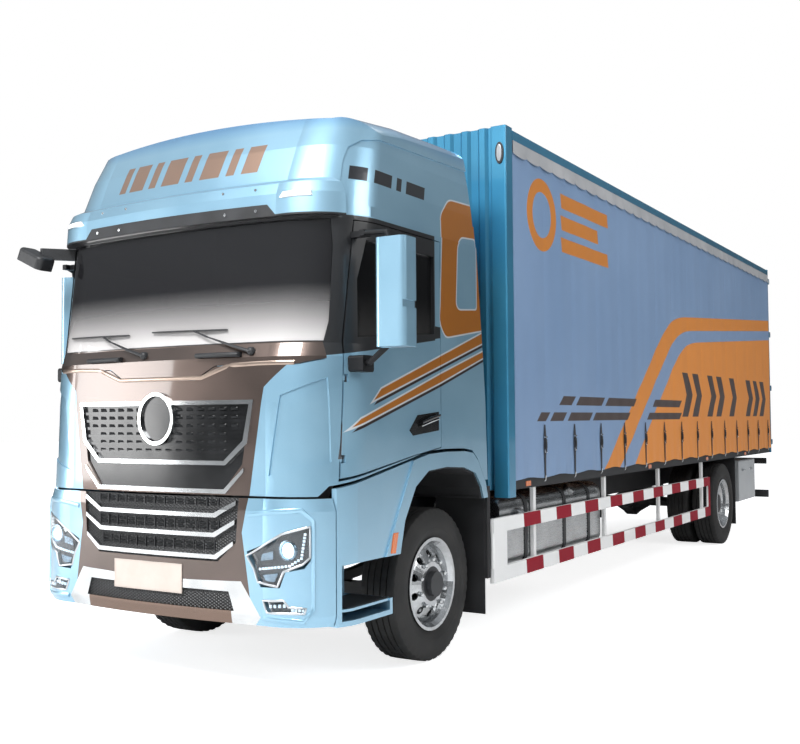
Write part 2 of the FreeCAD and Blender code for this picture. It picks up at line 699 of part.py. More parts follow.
frame_half_inner = [(706, 1749), (664, 1532), (528, 1410)]
frame_ring = front_zone(both_ways(frame_half_outer)).cut(front_zone(both_ways(frame_half_inner)))
lower_bar = front_zone([(-669, 1370), (-528, 1240), (528, 1240), (669, 1370), (669, 1344), (540, 1214), (-540, 1214),
                        (-669, 1344)])
grille_depth = 12
ring_z = 1665
ring_half_x = 150
ring_half_z = 165
ring_band = 22


def oval(half_x, half_z):
    disc = Part.makeCylinder(1, 400, V(0, nose_y - 200, 0), V(0, 1, 0))
    wide = FreeCAD.Matrix()
    wide.scale(half_x, 1, half_z)
    disc = disc.transformGeometry(wide)
    disc.translate(V(0, 0, ring_z))
    return disc


ring_zone = oval(ring_half_x, ring_half_z)
ring_band_zone = ring_zone.cut(oval(ring_half_x - ring_band, ring_half_z - ring_band))
front_panel = skin_layer.common(panel_zone).cut(grille_zone).cut(cowl_seam_zone)
cowl = cowl_layer.cut(screen_zone)
grille_bars = []
bar_count = 6
bar_pitch = (1749 - 1410) / (bar_count + 1)
for i in range(bar_count):
    z = 1410 + (i + 1) * bar_pitch
    grille_bars.append(box(-far, far, nose_y - 100, face_y + 172, z - 9, z + 9))
mesh_back = cab_layer(grille_depth, skin).common(grille_zone)
mesh_bars = cab_layer(2, grille_depth).common(front_zone(both_ways(frame_half_inner))).common(fused(grille_bars))
upper_mesh = fused([mesh_back, mesh_bars])
trim = cab_layer(-trim_rise, skin).common(frame_ring).fuse(cab_layer(-trim_rise, 0).common(lower_bar))
ring = cab_layer(-trim_rise - 12, skin).common(ring_band_zone)
badge_plate = cab_layer(-2, skin).common(oval(ring_half_x - ring_band, ring_half_z - ring_band))
save("grille_trim", trim.cut(ring_zone).fuse(ring))
save("upper_grille", upper_mesh.cut(ring_zone).cut(frame_ring).fuse(badge_plate))
save("front_panel", Part.Compound([front_panel.cut(frame_ring).cut(ring_zone), cowl]))
recess_zone = both_zones([(910, 1800), (1030, 1850), (1165, 1915), (1165, 1405), (970, 1360), (838, 1325)])
recess = cab_layer(-1, 9).common(recess_zone)
save("cab_corner_panels", skin_layer.cut(panel_zone).cut(cowl_seam_zone).cut(recess))

lug = fused([cyl(tilt_boss_radius, (bracket_out_x + gap, tilt_y, tilt_z), (lug_out_x, tilt_y, tilt_z)),
             prism_x([(tilt_y - tilt_boss_radius + 6, tilt_z + 8), (tilt_y + tilt_boss_radius, tilt_z),
                      (tilt_y + tilt_boss_radius, tilt_z + 120), (tilt_y - 10, tilt_z + 160),
                      (tilt_y - 10, tilt_z + 40)], bracket_out_x + gap, lug_out_x)])
tilt_room = 66
pin_room = cyl(tilt_pin_radius + pin_play, (bracket_out_x - 10, tilt_y, tilt_z), (lug_out_x + 10, tilt_y, tilt_z))
notch = cyl(tilt_boss_radius + gap, (bracket_in_x - gap, tilt_y, tilt_z), (bracket_out_x + gap, tilt_y, tilt_z))
notch = notch.fuse(box(bracket_in_x - gap, bracket_out_x + gap, tilt_y - tilt_room, face_y + 400, cab_foot - 50,
                       tilt_z + gap))
shell = cab_outer.cut(room).cut(under).cut(arch_cut).cut(screen_zone).cut(panel_seat)
shell = shell.cut([opening_zone, mirrored(opening_zone)])
shell = shell.cut([notch, mirrored(notch)]).fuse([lug, mirrored(lug)]).cut([pin_room, mirrored(pin_room)])

# Door hinges: a pin in each door turns in an arm from the pillar.
door_pin_x = 1188
door_pin_radius = 5
arm_half = 14
hinge_room = 24
arm_radius = 9
arms = []
arm_rooms = []
door_pins = []


def door_pin(radius, z, half):
    # A cylinder on the leaning hinge axis, from half below to half above one height.
    ends = [(door_pin_x, face_y + hinge_y_at(z + step), z + step) for step in (-half, half)]
    return cyl(radius, *ends)


for z in (1420, 1900):
    pin_y = face_y + hinge_y_at(z)
    reach = prism_z([(door_pin_x - 60, pin_y - 60), (door_pin_x - 40, pin_y - 60), (door_pin_x + 4, pin_y - 8),
                     (door_pin_x - 4, pin_y + 8), (door_pin_x - 60, pin_y - 20)], z - arm_half, z + arm_half)
    knuckle_in = door_pin(arm_radius, z, arm_half)
    arms.append(fused([knuckle_in, reach]).cut(door_pin(door_pin_radius + pin_play, z, 2 * hinge_room)))
    arm_rooms.append(box(door_pin_x - 90, far, pin_y - 20, pin_y + 20, z - hinge_room, z + hinge_room))
    door_pins.append(door_pin(door_pin_radius, z, hinge_room + 12))

door_block = cab_layer(0, cab_wall).common(door_zone)
window_outline = [(382, 2150), (1285, 2225), (1285, 2750), (470, 2750), (392, 2500)]
window_zone = side_zone(window_outline)
glass_depth = 24
glass_sheet = 6
door = door_block.cut(window_zone).cut(arm_rooms).fuse(door_pins)
door_glass = cab_layer(glass_depth, glass_depth + glass_sheet).common(window_zone)

# Roof fairing: a nose that leans back and narrows, cut by a crowned roof with round shoulders.
fairing_sheet = 45
fairing_levels = [(cab_brow, cab_half, 100, 460, 1922), (3120, 1232, 168, 400, 1908), (3350, 1205, 262, 380, 1895),
                  (3540, 1172, 362, 370, 1880), (3760, 1130, 490, 360, 1870)]
roof_line = [(0, 3510), (500, 3606), (1000, 3655), (2000, 3695)]
fairing_crown = 57
shoulder_x = 985
shoulder_edge_x = 1200
shoulder_drop = 150


def crown_ring(y, top):
    # Across the roof: a low crown, round shoulders, and sides that stay outside the fairing's walls.
    side_z = top - fairing_crown
    drop = side_z - shoulder_drop
    mid = V(shoulder_x + (shoulder_edge_x - shoulder_x) * 0.707, y, side_z - shoulder_drop * 0.293)
    p = [V(-shoulder_x, y, side_z), V(0, y, top), V(shoulder_x, y, side_z), V(shoulder_edge_x, y, drop),
         V(shoulder_edge_x + 100, y, belt_z), V(-shoulder_edge_x - 100, y, belt_z), V(-shoulder_edge_x, y, drop)]
    left = V(-mid.x, y, mid.z)
    return Part.Wire([Part.Arc(p[0], p[1], p[2]).toShape(), Part.Arc(p[2], mid, p[3]).toShape(),
                      Part.makeLine(p[3], p[4]), Part.makeLine(p[4], p[5]), Part.makeLine(p[5], p[6]),
                      Part.Arc(p[6], left, p[0]).toShape()])


def fairing_form(inset):
    crown = Part.makeLoft([crown_ring(face_y + y, top - inset) for y, top in roof_line], True, True)
    return nose_form(fairing_levels, inset).common(crown)


fairing_outer = fairing_form(0)
side_panel_points = [(345, 3100), (400, 3250), (450, 3340), (540, 3395), (700, 3425), (1990, 3465), (1990, 3060),
                     (480, 2962), (352, 2940)]
side_recess = nose_form(fairing_levels, -1).cut(nose_form(fairing_levels, 9)).common(side_zone(side_panel_points))
fairing = fairing_outer.cut(fairing_form(fairing_sheet).common(box(-far, far, nose_y, tail_y, cab_brow, 2 * far)))
fairing = fairing.cut([side_recess, mirrored(side_recess)])

# The brim runs round the fairing's foot; the dark sun visor is let into its front.
brim_foot = 2882
brim_end_y = face_y + 305
brim_levels = [(brim_foot, 1238, 50, 320, 1500), (3020, 1236, 60, 320, 1500), (3088, 1224, 88, 330, 1500),
               (3122, 1215, 160, 330, 1500)]


def brim_form(inset):
    return nose_form(brim_levels, inset)


brim_room = box(-far, far, nose_y, brim_end_y, brim_foot, 2 * far)
visor_zone = front_zone(both_ways([(756, 2957), (824, brim_foot)]))
brim = brim_form(0).common(brim_room).cut(fairing_outer).cut(cab_outer)
visor_seat = brim_form(0).cut(brim_form(12)).common(visor_zone)
save("roof_fairing", fairing.fuse(brim).cut(visor_seat).removeSplitter())
save("sun_visor", brim_form(-3).cut(brim_form(12)).common(visor_zone).common(brim_room))

save("cab_shell", shell.fuse([arm for arm in arms] + [mirrored(arm) for arm in arms]).removeSplitter())
screen_depth = 10
save("windscreen", cab_layer(screen_depth, screen_depth + 8).common(screen_zone))

# Mirrors ride on the doors: a rounded housing on an upper and a lower arm.
head_in = 1420
head_out = 1625
head_front = face_y + 255
head_back = face_y + 425
head_low = 2075
head_high = 2715
fold_deg = 62
head = rounded(box(head_in, head_out, head_front, head_back, head_low, head_high), 38, 2)
notch_band = box(head_out - 14, head_out + 10, head_front - 5, head_back + 5, 2300, 2345)
glass_face = box(head_in + 16, head_out - 16, head_back - 8, head_back + 5, head_low + 20, head_high - 20)
head = head.cut([notch_band, glass_face])
fold_x = 1290
fold_y = face_y + 345
upper_arm = pipe([(fold_x, fold_y, 2770), (head_in + 40, face_y + 340, 2760), (head_in + 60, face_y + 340, 2690)], 15)
lower_arm = pipe([(fold_x, fold_y, 1985), (1340, face_y + 335, 1990), (1500, face_y + 335, 2110)], 18)
swinging = fused([upper_arm, lower_arm]).cut(head).fuse(head)
foot = rounded(box(1150, fold_x + 25, fold_y - 45, fold_y + 75, 1935, 2035), 18, 0)
top_foot = box(1150, fold_x + 18, fold_y + 20, fold_y + 60, 2752, 2788)
top_foot = top_foot.fuse(box(fold_x - 18, fold_x + 18, fold_y - 15, fold_y + 60, 2752, 2788))
feet = fused([foot, top_foot]).cut(cab_outer)
folded = swinging.copy()
folded.rotate(V(fold_x, fold_y, 0), V(0, 0, 1), fold_deg)
save("mirror_left", fused([swinging, feet]))
save("mirror_right", mirrored(fused([folded, feet])))
save("door_left", door)
save("door_right", mirrored(door))
save("door_glass_left", door_glass)
save("door_glass_right", mirrored(door_glass))
kerb_arm = prism_z([(-1110, face_y + 310), (-1150, face_y + 325), (-1310, face_y + 150), (-1300, face_y + 120),
                    (-1275, face_y + 120)], 2800, 2878)
kerb_arm = rounded(kerb_arm, 8, 2)
kerb_bowl = rounded(box(-130, 130, -75, 75, -34, 60), 45, 2)
kerb_bowl = kerb_bowl.makeFillet(26, [e for e in kerb_bowl.Edges if min(v.Point.z for v in e.Vertexes) > 55])
kerb_bowl.rotate(V(0, 0, 0), V(0, 1, 0), 24)
kerb_bowl.translate(V(-1335, face_y + 113, 2793))
save("kerb_mirror", fused([kerb_arm.cut(cab_outer).cut(fairing), kerb_bowl]))

# Inside the cab.
dash_gap = 28
dash_points = from_face([(0, belt_z - 10), (330, 2070), (560, 2040), (640, 1950), (600, 1760), (430, 1700), (0, 1700)])
door_clear = cab_layer(0, cab_wall + dash_gap).common(opening_zone)
dash = prism_x(dash_points, -cab_half, cab_half).common(cab_room)
dash = dash.cut([door_clear, mirrored(door_clear)]).cut(shell)
wheel_x = 640
wheel_y = face_y + 800
wheel_z = 2085
hub_tilt = V(0, -0.72, 0.69)
ring_section = [(215 + 15 * math.cos(a), 15 * math.sin(a)) for a in (math.pi * i / 4 for i in range(8))]
wheel_ring = turned(ring_section, (0, 0, 0))
wheel_ring.Placement = FreeCAD.Placement(V(wheel_x, wheel_y, wheel_z), FreeCAD.Rotation(V(1, 0, 0), hub_tilt))
hub_disc = Part.makeCylinder(62, 40, V(wheel_x, wheel_y, wheel_z) - hub_tilt * 20, hub_tilt)
spokes = [Part.makeCylinder(14, 205, V(wheel_x, wheel_y, wheel_z), V(s, 0, 0)) for s in (-1, 1)]
spokes.append(Part.makeCylinder(14, 205, V(wheel_x, wheel_y, wheel_z), V(0, -0.69, -0.72)))
column = cyl(34, (wheel_x, wheel_y, wheel_z), (wheel_x, face_y + 560, 1880))
steering = fused([wheel_ring, hub_disc, column] + spokes)
save("dashboard", dash)
save("steering_wheel", steering.cut(dash))
seat_x0, seat_x1 = 380, 900
cushion = rounded(box(seat_x0, seat_x1, face_y + 980, face_y + 1480, 1800, 1960), 45, 0)
back_points = from_face([(1400, 1940), (1520, 1930), (1640, 2560), (1560, 2600), (1500, 2560)])
seat_back = rounded(prism_x(back_points, seat_x0 + 15, seat_x1 - 15), 25, 0)
head_rest = rounded(box(540, 740, face_y + 1560, face_y + 1630, 2560, 2760), 25, 0)
base = box(seat_x0 + 90, seat_x1 - 90, face_y + 1060, face_y + 1420, floor_top, 1810)
seat = fused([cushion, seat_back, head_rest, base])
bunk_front = face_y + 1690
bunk = rounded(box(-cab_half + cab_wall, cab_half - cab_wall, bunk_front, face_y + 1930, floor_top, 2020), 20, 0)
save("seats", Part.Compound([seat, mirrored(seat), bunk]))

# Lower side of the cab: the panel, the step well and the wheel-arch flare stay on the chassis.
side_sheet = 30
step_front = bumper_rear_y + seam
side_levels = [(0, cab_half, bumper_face, bumper_corner, 3000), (1500, cab_half, bumper_face, bumper_corner, 3000)]
side_form = nose_form(side_levels, 0)
side_panel = side_form.cut(nose_form(side_levels, side_sheet))
side_panel = side_panel.common(side_zone([(191, 805), (640, 805), (985, 1385), (191, 1249)]))
step_in = 850
step_sheet = 30
step_rear = face_y + 730
step_foot = 445
tread_z = 545
tray = fused([box(step_in, cab_half, step_front, step_rear, step_foot, step_foot + step_sheet),
              box(step_in, cab_half, step_front, step_front + step_sheet, step_foot, 805),
              box(step_in, step_in + step_sheet, step_front, step_rear, step_foot, 805),
              box(step_in, cab_half, step_rear - step_sheet, step_rear, step_foot, tread_z),
              box(step_in, cab_half - 120, step_front, step_rear, 775, 805),
              box(step_in, cab_half - 8, step_front, step_rear, tread_z - 15, tread_z)])
step = fused([tray.common(side_form), side_panel])
save("side_steps", both_sides(step))
flare_out = cab_half + 12
flare_outline = from_face([(640, 805), (985, 1385), (1190, 1420), (1424, 1428), (1700, 1424), (1824, 1408), (1900, 1350),
                           (2019, 1190), (2055, 1075), (1985, 1075), (1950, 1160), (1860, 1262), (1684, 1310),
                           (1430, 1325), (1180, 1310), (1010, 1215), (870, 1010), (810, 805)])
flare = prism_x(flare_outline, cab_half - 70, flare_out)
liner_outline = from_face([(870, 1010), (1010, 1215), (1180, 1310), (1430, 1325), (1684, 1310), (1860, 1262),
                           (1950, 1160), (1985, 1075), (1973, 1070), (1940, 1152), (1852, 1252), (1682, 1299),
                           (1430, 1314), (1184, 1299), (1019, 1208), (880, 1004)])
liner_in = rail_outer_x + 180
liner = prism_x(liner_outline, liner_in, cab_half - 4)
stay_zs = 1180
liner_stay = box(rail_outer_x - 40, liner_in + 40, face_y + 1820, face_y + 1860, rail_top, 1290)
liner_stay = liner_stay.cut(box(rail_outer_x + 10, far, nose_y, tail_y, 0, 1240))
flare = flare.cut(liner)
guard_front = face_y + 2068
guard_sheet = 12
flap = fused([box(liner_in + 200, cab_half - 30, guard_front, guard_front + guard_sheet, 220, 1100),
              box(liner_in + 200, cab_half - 10, guard_front + guard_sheet, guard_front + 62, 478, 1155)])
join = box(liner_in, cab_half - 10, face_y + 1960, guard_front + 62, 1075, 1090)
save("wheel_arches", both_sides(flare))
rear_flap_y = rear_axle_y + 640
rear_flap = box(twin_inner_x - 140, body_half - 45, rear_flap_y, rear_flap_y + 10, 200, deck_under)
front_flap = fused([flap, join.cut(flare)])
front_guard = fused([front_flap, liner, liner_stay])
save("mudguards", Part.Compound([front_guard, mirrored(front_guard), rear_flap, mirrored(rear_flap)]))

# Fuel tank: a drum-cornered box held to the rail by brackets and straps.
tank_y0 = face_y + 2400
tank_length = 2180
tank_in = 600
tank_out = 1180
tank_low = 470
tank_high = 1050
tank_corner = 110
strap_sheet = 5
tank = rounded(box(tank_in, tank_out, tank_y0, tank_y0 + tank_length, tank_low, tank_high), tank_corner, 1)
cap = cyl(55, (tank_out - 60, tank_y0 + 1460, tank_high - 60), (tank_out - 6, tank_y0 + 1460, tank_high - 6))
save("fuel_tank", fused([tank, cap]))
straps = []
for y in (tank_y0 + 480, tank_y0 + 1290, tank_y0 + 1870):
    band = rounded(box(tank_in - strap_sheet, tank_out + strap_sheet, y - 30, y + 30, tank_low - strap_sheet,
                       tank_high + strap_sheet), tank_corner, 1)
    arm = box(rail_outer_x, tank_in + 60, y - 30, y + 30, rail_bottom - 60, rail_top)
    straps.append(fused([band, arm]).cut(tank))
save("tank_brackets", Part.Compound(straps))


def hung_box(x0, x1, y0, y1, z0, z1, radius):
    # A closed box with rounded long edges and two arms to the rail.
    body = rounded(box(x0, x1, y0, y1, z0, z1), radius, 1)
    arms = [box(rail_outer_x, x0 + 20, y - 30, y + 30, rail_bottom + 20, rail_bottom + 120) for y in (y0 + 120, y1 - 120)]
    return fused([body] + arms)


tool = hung_box(700, 1195, face_y + 10000, face_y + 10980, 470, 1040, 18)
save("toolbox", tool)
battery = hung_box(640, 1180, face_y + 3560, face_y + 4300, 520, 1020, 18)
save("battery_box", mirrored(battery))
air_tank = fused([cyl(145, (880, face_y + 2450, 800), (880, face_y + 3400, 800))]
                 + [box(rail_outer_x, 880, y - 20, y + 20, 760, 840) for y in (face_y + 2600, face_y + 3250)])
save("air_tanks", mirrored(air_tank))

# Side guards: two rails and end plates on posts under the deck.
guard_out = 1250
guard_in = guard_out - 35
guard_low = 430
guard_high = 905
guard_start = face_y + 2160
guard_end = face_y + 8270
upper_low = 800
lower_high = 540
guards = [box(guard_in, guard_out, guard_start, guard_end, upper_low, guard_high),
          box(guard_in, guard_out, guard_start, guard_end, guard_low, lower_high),
          rounded(box(guard_in, guard_out, guard_start, guard_start + 240, guard_low, guard_high), 16, 2),
          box(guard_in, guard_out, guard_end - 45, guard_end, guard_low, guard_high)]
for y in (2960, 4600, 6280, 8020):
    guards.append(box(guard_in - 30, guard_in, face_y + y, face_y + y + 50, guard_low, deck_under))
save("side_guards", both_sides(fused(guards)))

# Rear underrun bar and lamp beam on plates from the rails.
bar_half = 1200
bar_rear = tail_y - 20
plate_y0 = frame_tail_y - 220
plate = box(rail_outer_x, rail_outer_x + 14, plate_y0, bar_rear - 60, 430, rail_bottom + 200)
under_bar = rounded(box(-bar_half, bar_half, bar_rear - 70, bar_rear, 410, 520), 12, 0)
lamp_beam = box(-bar_half, bar_half, frame_tail_y, frame_tail_y + 30, 925, 1015)
save("underrun_bar", fused([under_bar, lamp_beam, plate, mirrored(plate)]))
lamp = rounded(box(760, 1160, frame_tail_y + 30, frame_tail_y + 75, 932, 1008), 14, 1)
save("tail_lamps", both_sides(lamp))
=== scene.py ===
# %% [markdown]
# # A curtain-sided rigid truck, dressed
# The solids of the truck come in as a fixed frame, already in metres and in place.
# This lesson gives each solid its finish, adds the pieces that are too fine or too soft for
# the solids, and sets up the light and the camera.

import math

import bmesh
import bpy
from mathutils import Matrix, Vector
from mathutils.bvhtree import BVHTree


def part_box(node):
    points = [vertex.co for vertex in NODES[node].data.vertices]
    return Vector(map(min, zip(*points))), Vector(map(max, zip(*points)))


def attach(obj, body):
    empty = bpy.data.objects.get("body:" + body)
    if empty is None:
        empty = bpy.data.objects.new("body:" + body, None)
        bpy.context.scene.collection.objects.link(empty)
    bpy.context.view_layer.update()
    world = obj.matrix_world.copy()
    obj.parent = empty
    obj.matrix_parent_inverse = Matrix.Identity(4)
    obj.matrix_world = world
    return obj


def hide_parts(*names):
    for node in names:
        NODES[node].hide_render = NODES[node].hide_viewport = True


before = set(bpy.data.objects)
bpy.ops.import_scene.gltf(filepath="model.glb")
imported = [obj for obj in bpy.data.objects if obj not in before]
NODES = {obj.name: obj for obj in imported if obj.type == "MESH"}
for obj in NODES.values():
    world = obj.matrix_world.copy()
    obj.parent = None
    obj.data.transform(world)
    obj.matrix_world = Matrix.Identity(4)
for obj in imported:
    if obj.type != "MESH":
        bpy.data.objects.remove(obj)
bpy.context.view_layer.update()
SIDES = (1, -1)
LEFT_RIGHT = {1: "left", -1: "right"}

# %% [markdown]
# The camera comes first, because every choice of detail depends on what it sees. The place
# and lens were worked out from the wheels, the bumper and the body's corners: the eye stands
# 1.66 m above the ground, ahead of the truck and on the driver's side, and looks slightly up.

# %% Camera
EYE = Vector((4.666, -10.741, 1.659))
YAW, PITCH, ROLL = (math.radians(a) for a in (31.16, 2.55, -0.37))
LENS = 46.70


def look_matrix(eye, yaw, pitch, roll):
    ahead = Vector((-math.sin(yaw) * math.cos(pitch), math.cos(yaw) * math.cos(pitch), math.sin(pitch)))
    side = Vector((math.cos(yaw), math.sin(yaw), 0))
    up = side.cross(ahead)
    right = side * math.cos(roll) + up * math.sin(roll)
    top = up * math.cos(roll) - side * math.sin(roll)
    turn = Matrix((right, top, -ahead)).transposed()
    return Matrix.Translation(eye) @ turn.to_4x4()


camera_data = bpy.data.cameras.new("camera")
camera_data.lens = LENS
camera_data.sensor_width = 36
camera_data.clip_end = 200
camera = bpy.data.objects.new("camera", camera_data)
bpy.context.scene.collection.objects.link(camera)
camera.matrix_world = look_matrix(EYE, YAW, PITCH, ROLL)
bpy.context.scene.camera = camera
print("camera at", tuple(round(v, 2) for v in EYE))

# %% [markdown]
# A material is a small graph of nodes. Two helpers keep the graphs short: one turns the
# sRGB hex colour that a picture editor shows into the linear values that a renderer
# needs, and one adds a node with its settings and its links in a single line. All patterns
# are placed by object coordinates, which are metres in the frame of the truck.

# %% Colour and node helpers
def srgb(hex_code):
    parts = [int(hex_code[i:i + 2], 16) / 255 for i in (1, 3, 5)]
    return tuple(c / 12.92 if c <= 0.04045 else ((c + 0.055) / 1.055) ** 2.4 for c in parts) + (1.0,)


def plug(socket, source):
    # A node stands for its first output, a socket for itself, and anything else is a value.
    if isinstance(source, bpy.types.Node):
        source = source.outputs[0]
    if isinstance(source, bpy.types.NodeSocket):
        socket.id_data.links.new(source, socket)
    else:
        socket.default_value = source


def add(tree, kind, inputs=(), stops=(), **settings):
    # Inputs are given by place, or by name in a dictionary. Stops are those of a colour ramp.
    made = tree.nodes.new("ShaderNode" + kind)
    for name, value in settings.items():
        setattr(made, name, value)
    for key, source in inputs.items() if isinstance(inputs, dict) else enumerate(inputs):
        plug(made.inputs[key], source)
    for i, (place, colour) in enumerate(stops):
        made.color_ramp.elements[i].position = place
        made.color_ramp.elements[i].color = srgb(colour)
    return made


def material(name, **principled):
    made = bpy.data.materials.new(name)
    made.use_nodes = True
    tree = made.node_tree
    shader = tree.nodes["Principled BSDF"]
    for key, value in principled.items():
        shader.inputs[key.replace("_", " ")].default_value = value
    return made, tree, shader


def object_point(tree):
    found = tree.nodes.get("Texture Coordinate") or add(tree, "TexCoord")
    return found.outputs["Object"]


def dress(finish, *names):
    for name in names:
        mesh = NODES[name].data
        mesh.materials.clear()
        mesh.materials.append(finish)
    print(finish.name, "on", len(names), "nodes")


print("a mid grey of #808080 is", round(srgb("#808080")[0], 3), "in linear light")

# %% [markdown]
# Vinyl stripes and two-tone paint have crisp edges, so they are drawn as shapes: the distance
# of each point to every edge of a convex outline is worked out, and the least of them is
# positive inside. A smooth least rounds the corners. Outlines along the side are given from
# the cab's face backwards, as a sign painter would measure them.

# %% Edges and outlines
CAB_FACE = -5.92
CRISP = 0.0015
PLANES = {"side": (1, 2, CAB_FACE), "front": (0, 2, 0.0), "top": (0, 1, 0.0)}


def along(tree, normal, offset=0.0):
    made = add(tree, "VectorMath", {0: object_point(tree), 1: normal}, operation="DOT_PRODUCT")
    return add(tree, "Math", (made.outputs["Value"], offset), operation="ADD")


def edge(tree, start, end, plane="side"):
    # Positive on the left of the line from start to end.
    across, up, shift = PLANES[plane]
    run = Vector((end[0] - start[0], end[1] - start[1])).normalized()
    normal = [0.0, 0.0, 0.0]
    normal[across] = -run.y
    normal[up] = run.x
    return along(tree, normal, run.y * (start[0] + shift) - run.x * start[1])


def least(tree, distances, rounding=0.0):
    result = distances[0]
    for other in distances[1:]:
        if rounding:
            result = add(tree, "Math", (result, other, rounding), operation="SMOOTH_MIN")
        else:
            result = add(tree, "Math", (result, other), operation="MINIMUM")
    return result


def most(tree, distances):
    result = distances[0]
    for other in distances[1:]:
        result = add(tree, "Math", (result, other), operation="MAXIMUM")
    return result


def convex(tree, outline, plane="side", rounding=0.0):
    twice_area = sum(a[0] * b[1] - b[0] * a[1] for a, b in zip(outline, outline[1:] + outline[:1]))
    ring = list(outline) if twice_area > 0 else list(reversed(outline))
    return least(tree, [edge(tree, a, b, plane) for a, b in zip(ring, ring[1:] + ring[:1])], rounding)


def between(tree, place, low, high):
    gaps = [add(tree, "Math", pair, operation="SUBTRACT") for pair in ((place, low), (high, place))]
    return least(tree, gaps)


def beyond(tree, half_width):
    # Positive further out than half_width, on both sides of the truck.
    width = add(tree, "Math", (along(tree, (1, 0, 0)),), operation="ABSOLUTE")
    return add(tree, "Math", (width, half_width), operation="SUBTRACT")


print("outlines along the side start from the cab's face at", CAB_FACE, "m")


# %% Bars, masks and stencils
def slanted_bars(tree, spans, foot, top, lean, plane="side"):
    # Bars between two heights, each from one place to another at its foot, leaning by lean.
    across, up, shift = PLANES[plane]
    normal = [0.0, 0.0, 0.0]
    normal[across] = 1.0
    normal[up] = -lean
    place = along(tree, normal, lean * foot - shift)
    bars = [between(tree, place, *span) for span in spans]
    return least(tree, [most(tree, bars), along(tree, (0, 0, 1), -foot), along(tree, (0, 0, -1), top)])


def inside(tree, distance, grow=0.0):
    return add(tree, "MapRange", {"Value": distance, 1: -CRISP - grow, 2: CRISP - grow})


def paint_over(tree, below, above, mask):
    above = srgb(above) if isinstance(above, str) else above
    return add(tree, "Mix", {0: mask, 6: below, 7: above}, data_type="RGBA").outputs[2]


def colour_of(shader):
    return shader.inputs["Base Color"].links[0].from_socket


def stencil(finish, colour, mask, **numbers):
    # Sprays a colour where the mask is, and changes numbers of the shader there.
    tree = finish.node_tree
    shader = tree.nodes["Principled BSDF"]
    plug(shader.inputs["Base Color"], paint_over(tree, colour_of(shader), colour, mask))
    for name, value in numbers.items():
        socket = shader.inputs[name.replace("_", " ")]
        below = socket.links[0].from_socket if socket.links else socket.default_value
        plug(socket, add(tree, "Mix", {0: mask, 2: below, 3: value}))


print("painted edges are crisp within", 2000 * CRISP, "mm")

# %% [markdown]
# Automotive paint is a coloured base coat with fine aluminium flakes under a clear lacquer.
# The lacquer is what shines, so the base is a little rough and the coat is smooth. Flakes are
# about 0.05 mm, far too fine to show, so the noise is drawn at 2 mm as a faint sparkle, and
# a second broad noise gives the slight dust that keeps it from looking like plastic.

# %% Two-coat metallic paints
def lacquered_paint(name, light, dark, metallic=0.7, base_rough=0.32, dust_mm=420, coat=0.9):
    made, tree, shader = material(name, Metallic=metallic, Coat_Weight=coat, Coat_Roughness=0.06)
    flakes = add(tree, "TexNoise", {"Vector": object_point(tree), "Scale": 1000 / 2.0, "Detail": 2.0})
    dust = add(tree, "TexNoise", {"Vector": object_point(tree), "Scale": 1000 / dust_mm, "Detail": 2.0})
    sparkle = add(tree, "ValToRGB", {"Fac": flakes}, stops=[(0.3, dark), (0.7, light)])
    cloud = add(tree, "ValToRGB", {"Fac": dust}, stops=[(0.35, dark), (0.65, light)])
    tone = add(tree, "Mix", {0: 0.5, 6: sparkle, 7: cloud}, data_type="RGBA")
    plug(shader.inputs["Base Color"], tone.outputs[2])
    rough = add(tree, "MapRange", {"Value": dust, 3: base_rough - 0.05, 4: base_rough + 0.07})
    plug(shader.inputs["Roughness"], rough)
    # Orange peel: sprayed lacquer dries in soft waves about 9 mm long.
    peel = add(tree, "TexNoise", {"Vector": object_point(tree), "Scale": 1000 / 9.0, "Detail": 1.0})
    plug(shader.inputs["Normal"], add(tree, "Bump", {"Height": peel, "Strength": 0.04, "Distance": 0.0004}))
    return made


ICE = ("#94BBD0", "#86B0C8")
TEAL = ("#3F8FB2", "#3583A8")
ICE_PAINT = lacquered_paint("ice_blue_lacquered_paint", *ICE)
BRONZE_PAINT = lacquered_paint("bronze_lacquered_paint", "#645650", "#524741", metallic=0.85, base_rough=0.3)
BODY_PAINT = lacquered_paint("teal_body_paint", *TEAL, metallic=0.5)
GREY_PAINT = lacquered_paint("light_grey_paint", "#A8ABAD", "#9A9DA0", metallic=0.1, base_rough=0.45)
dress(ICE_PAINT, "cab_corner_panels", "bumper_corners", "side_steps", "wheel_arches")
dress(BRONZE_PAINT, "bumper_centre", "front_panel")
dress(BODY_PAINT, "front_wall", "rear_posts", "body_roof")
dress(GREY_PAINT, "toolbox", "air_tanks")

# %% [markdown]
# The rear doors are sprayed with the body. Their rods, clamps and hinge leaves stand proud of
# the skin and are galvanised steel, so everything behind one plane keeps the zinc's grey.

# %% Rear doors
DOOR_SKIN_Y = 5.9735
DOOR_PAINT = lacquered_paint("teal_doors_with_galvanised_gear", *TEAL, metallic=0.5)
tree = DOOR_PAINT.node_tree
gear = inside(tree, along(tree, (0, 1, 0), -DOOR_SKIN_Y))
stencil(DOOR_PAINT, "#B4B9BD", gear, Metallic=0.85, Coat_Weight=0.0)
dress(DOOR_PAINT, "rear_door_left", "rear_door_right")

# %% [markdown]
# The cab's side carries the livery: a black band from the windscreen's post over the door
# window, two orange stripes that widen as they climb to the rear, each with a white line round
# it and a dark line below, and an orange frame behind the door. Each layer is one stencil over
# the last, so the dark line comes first and the orange last.

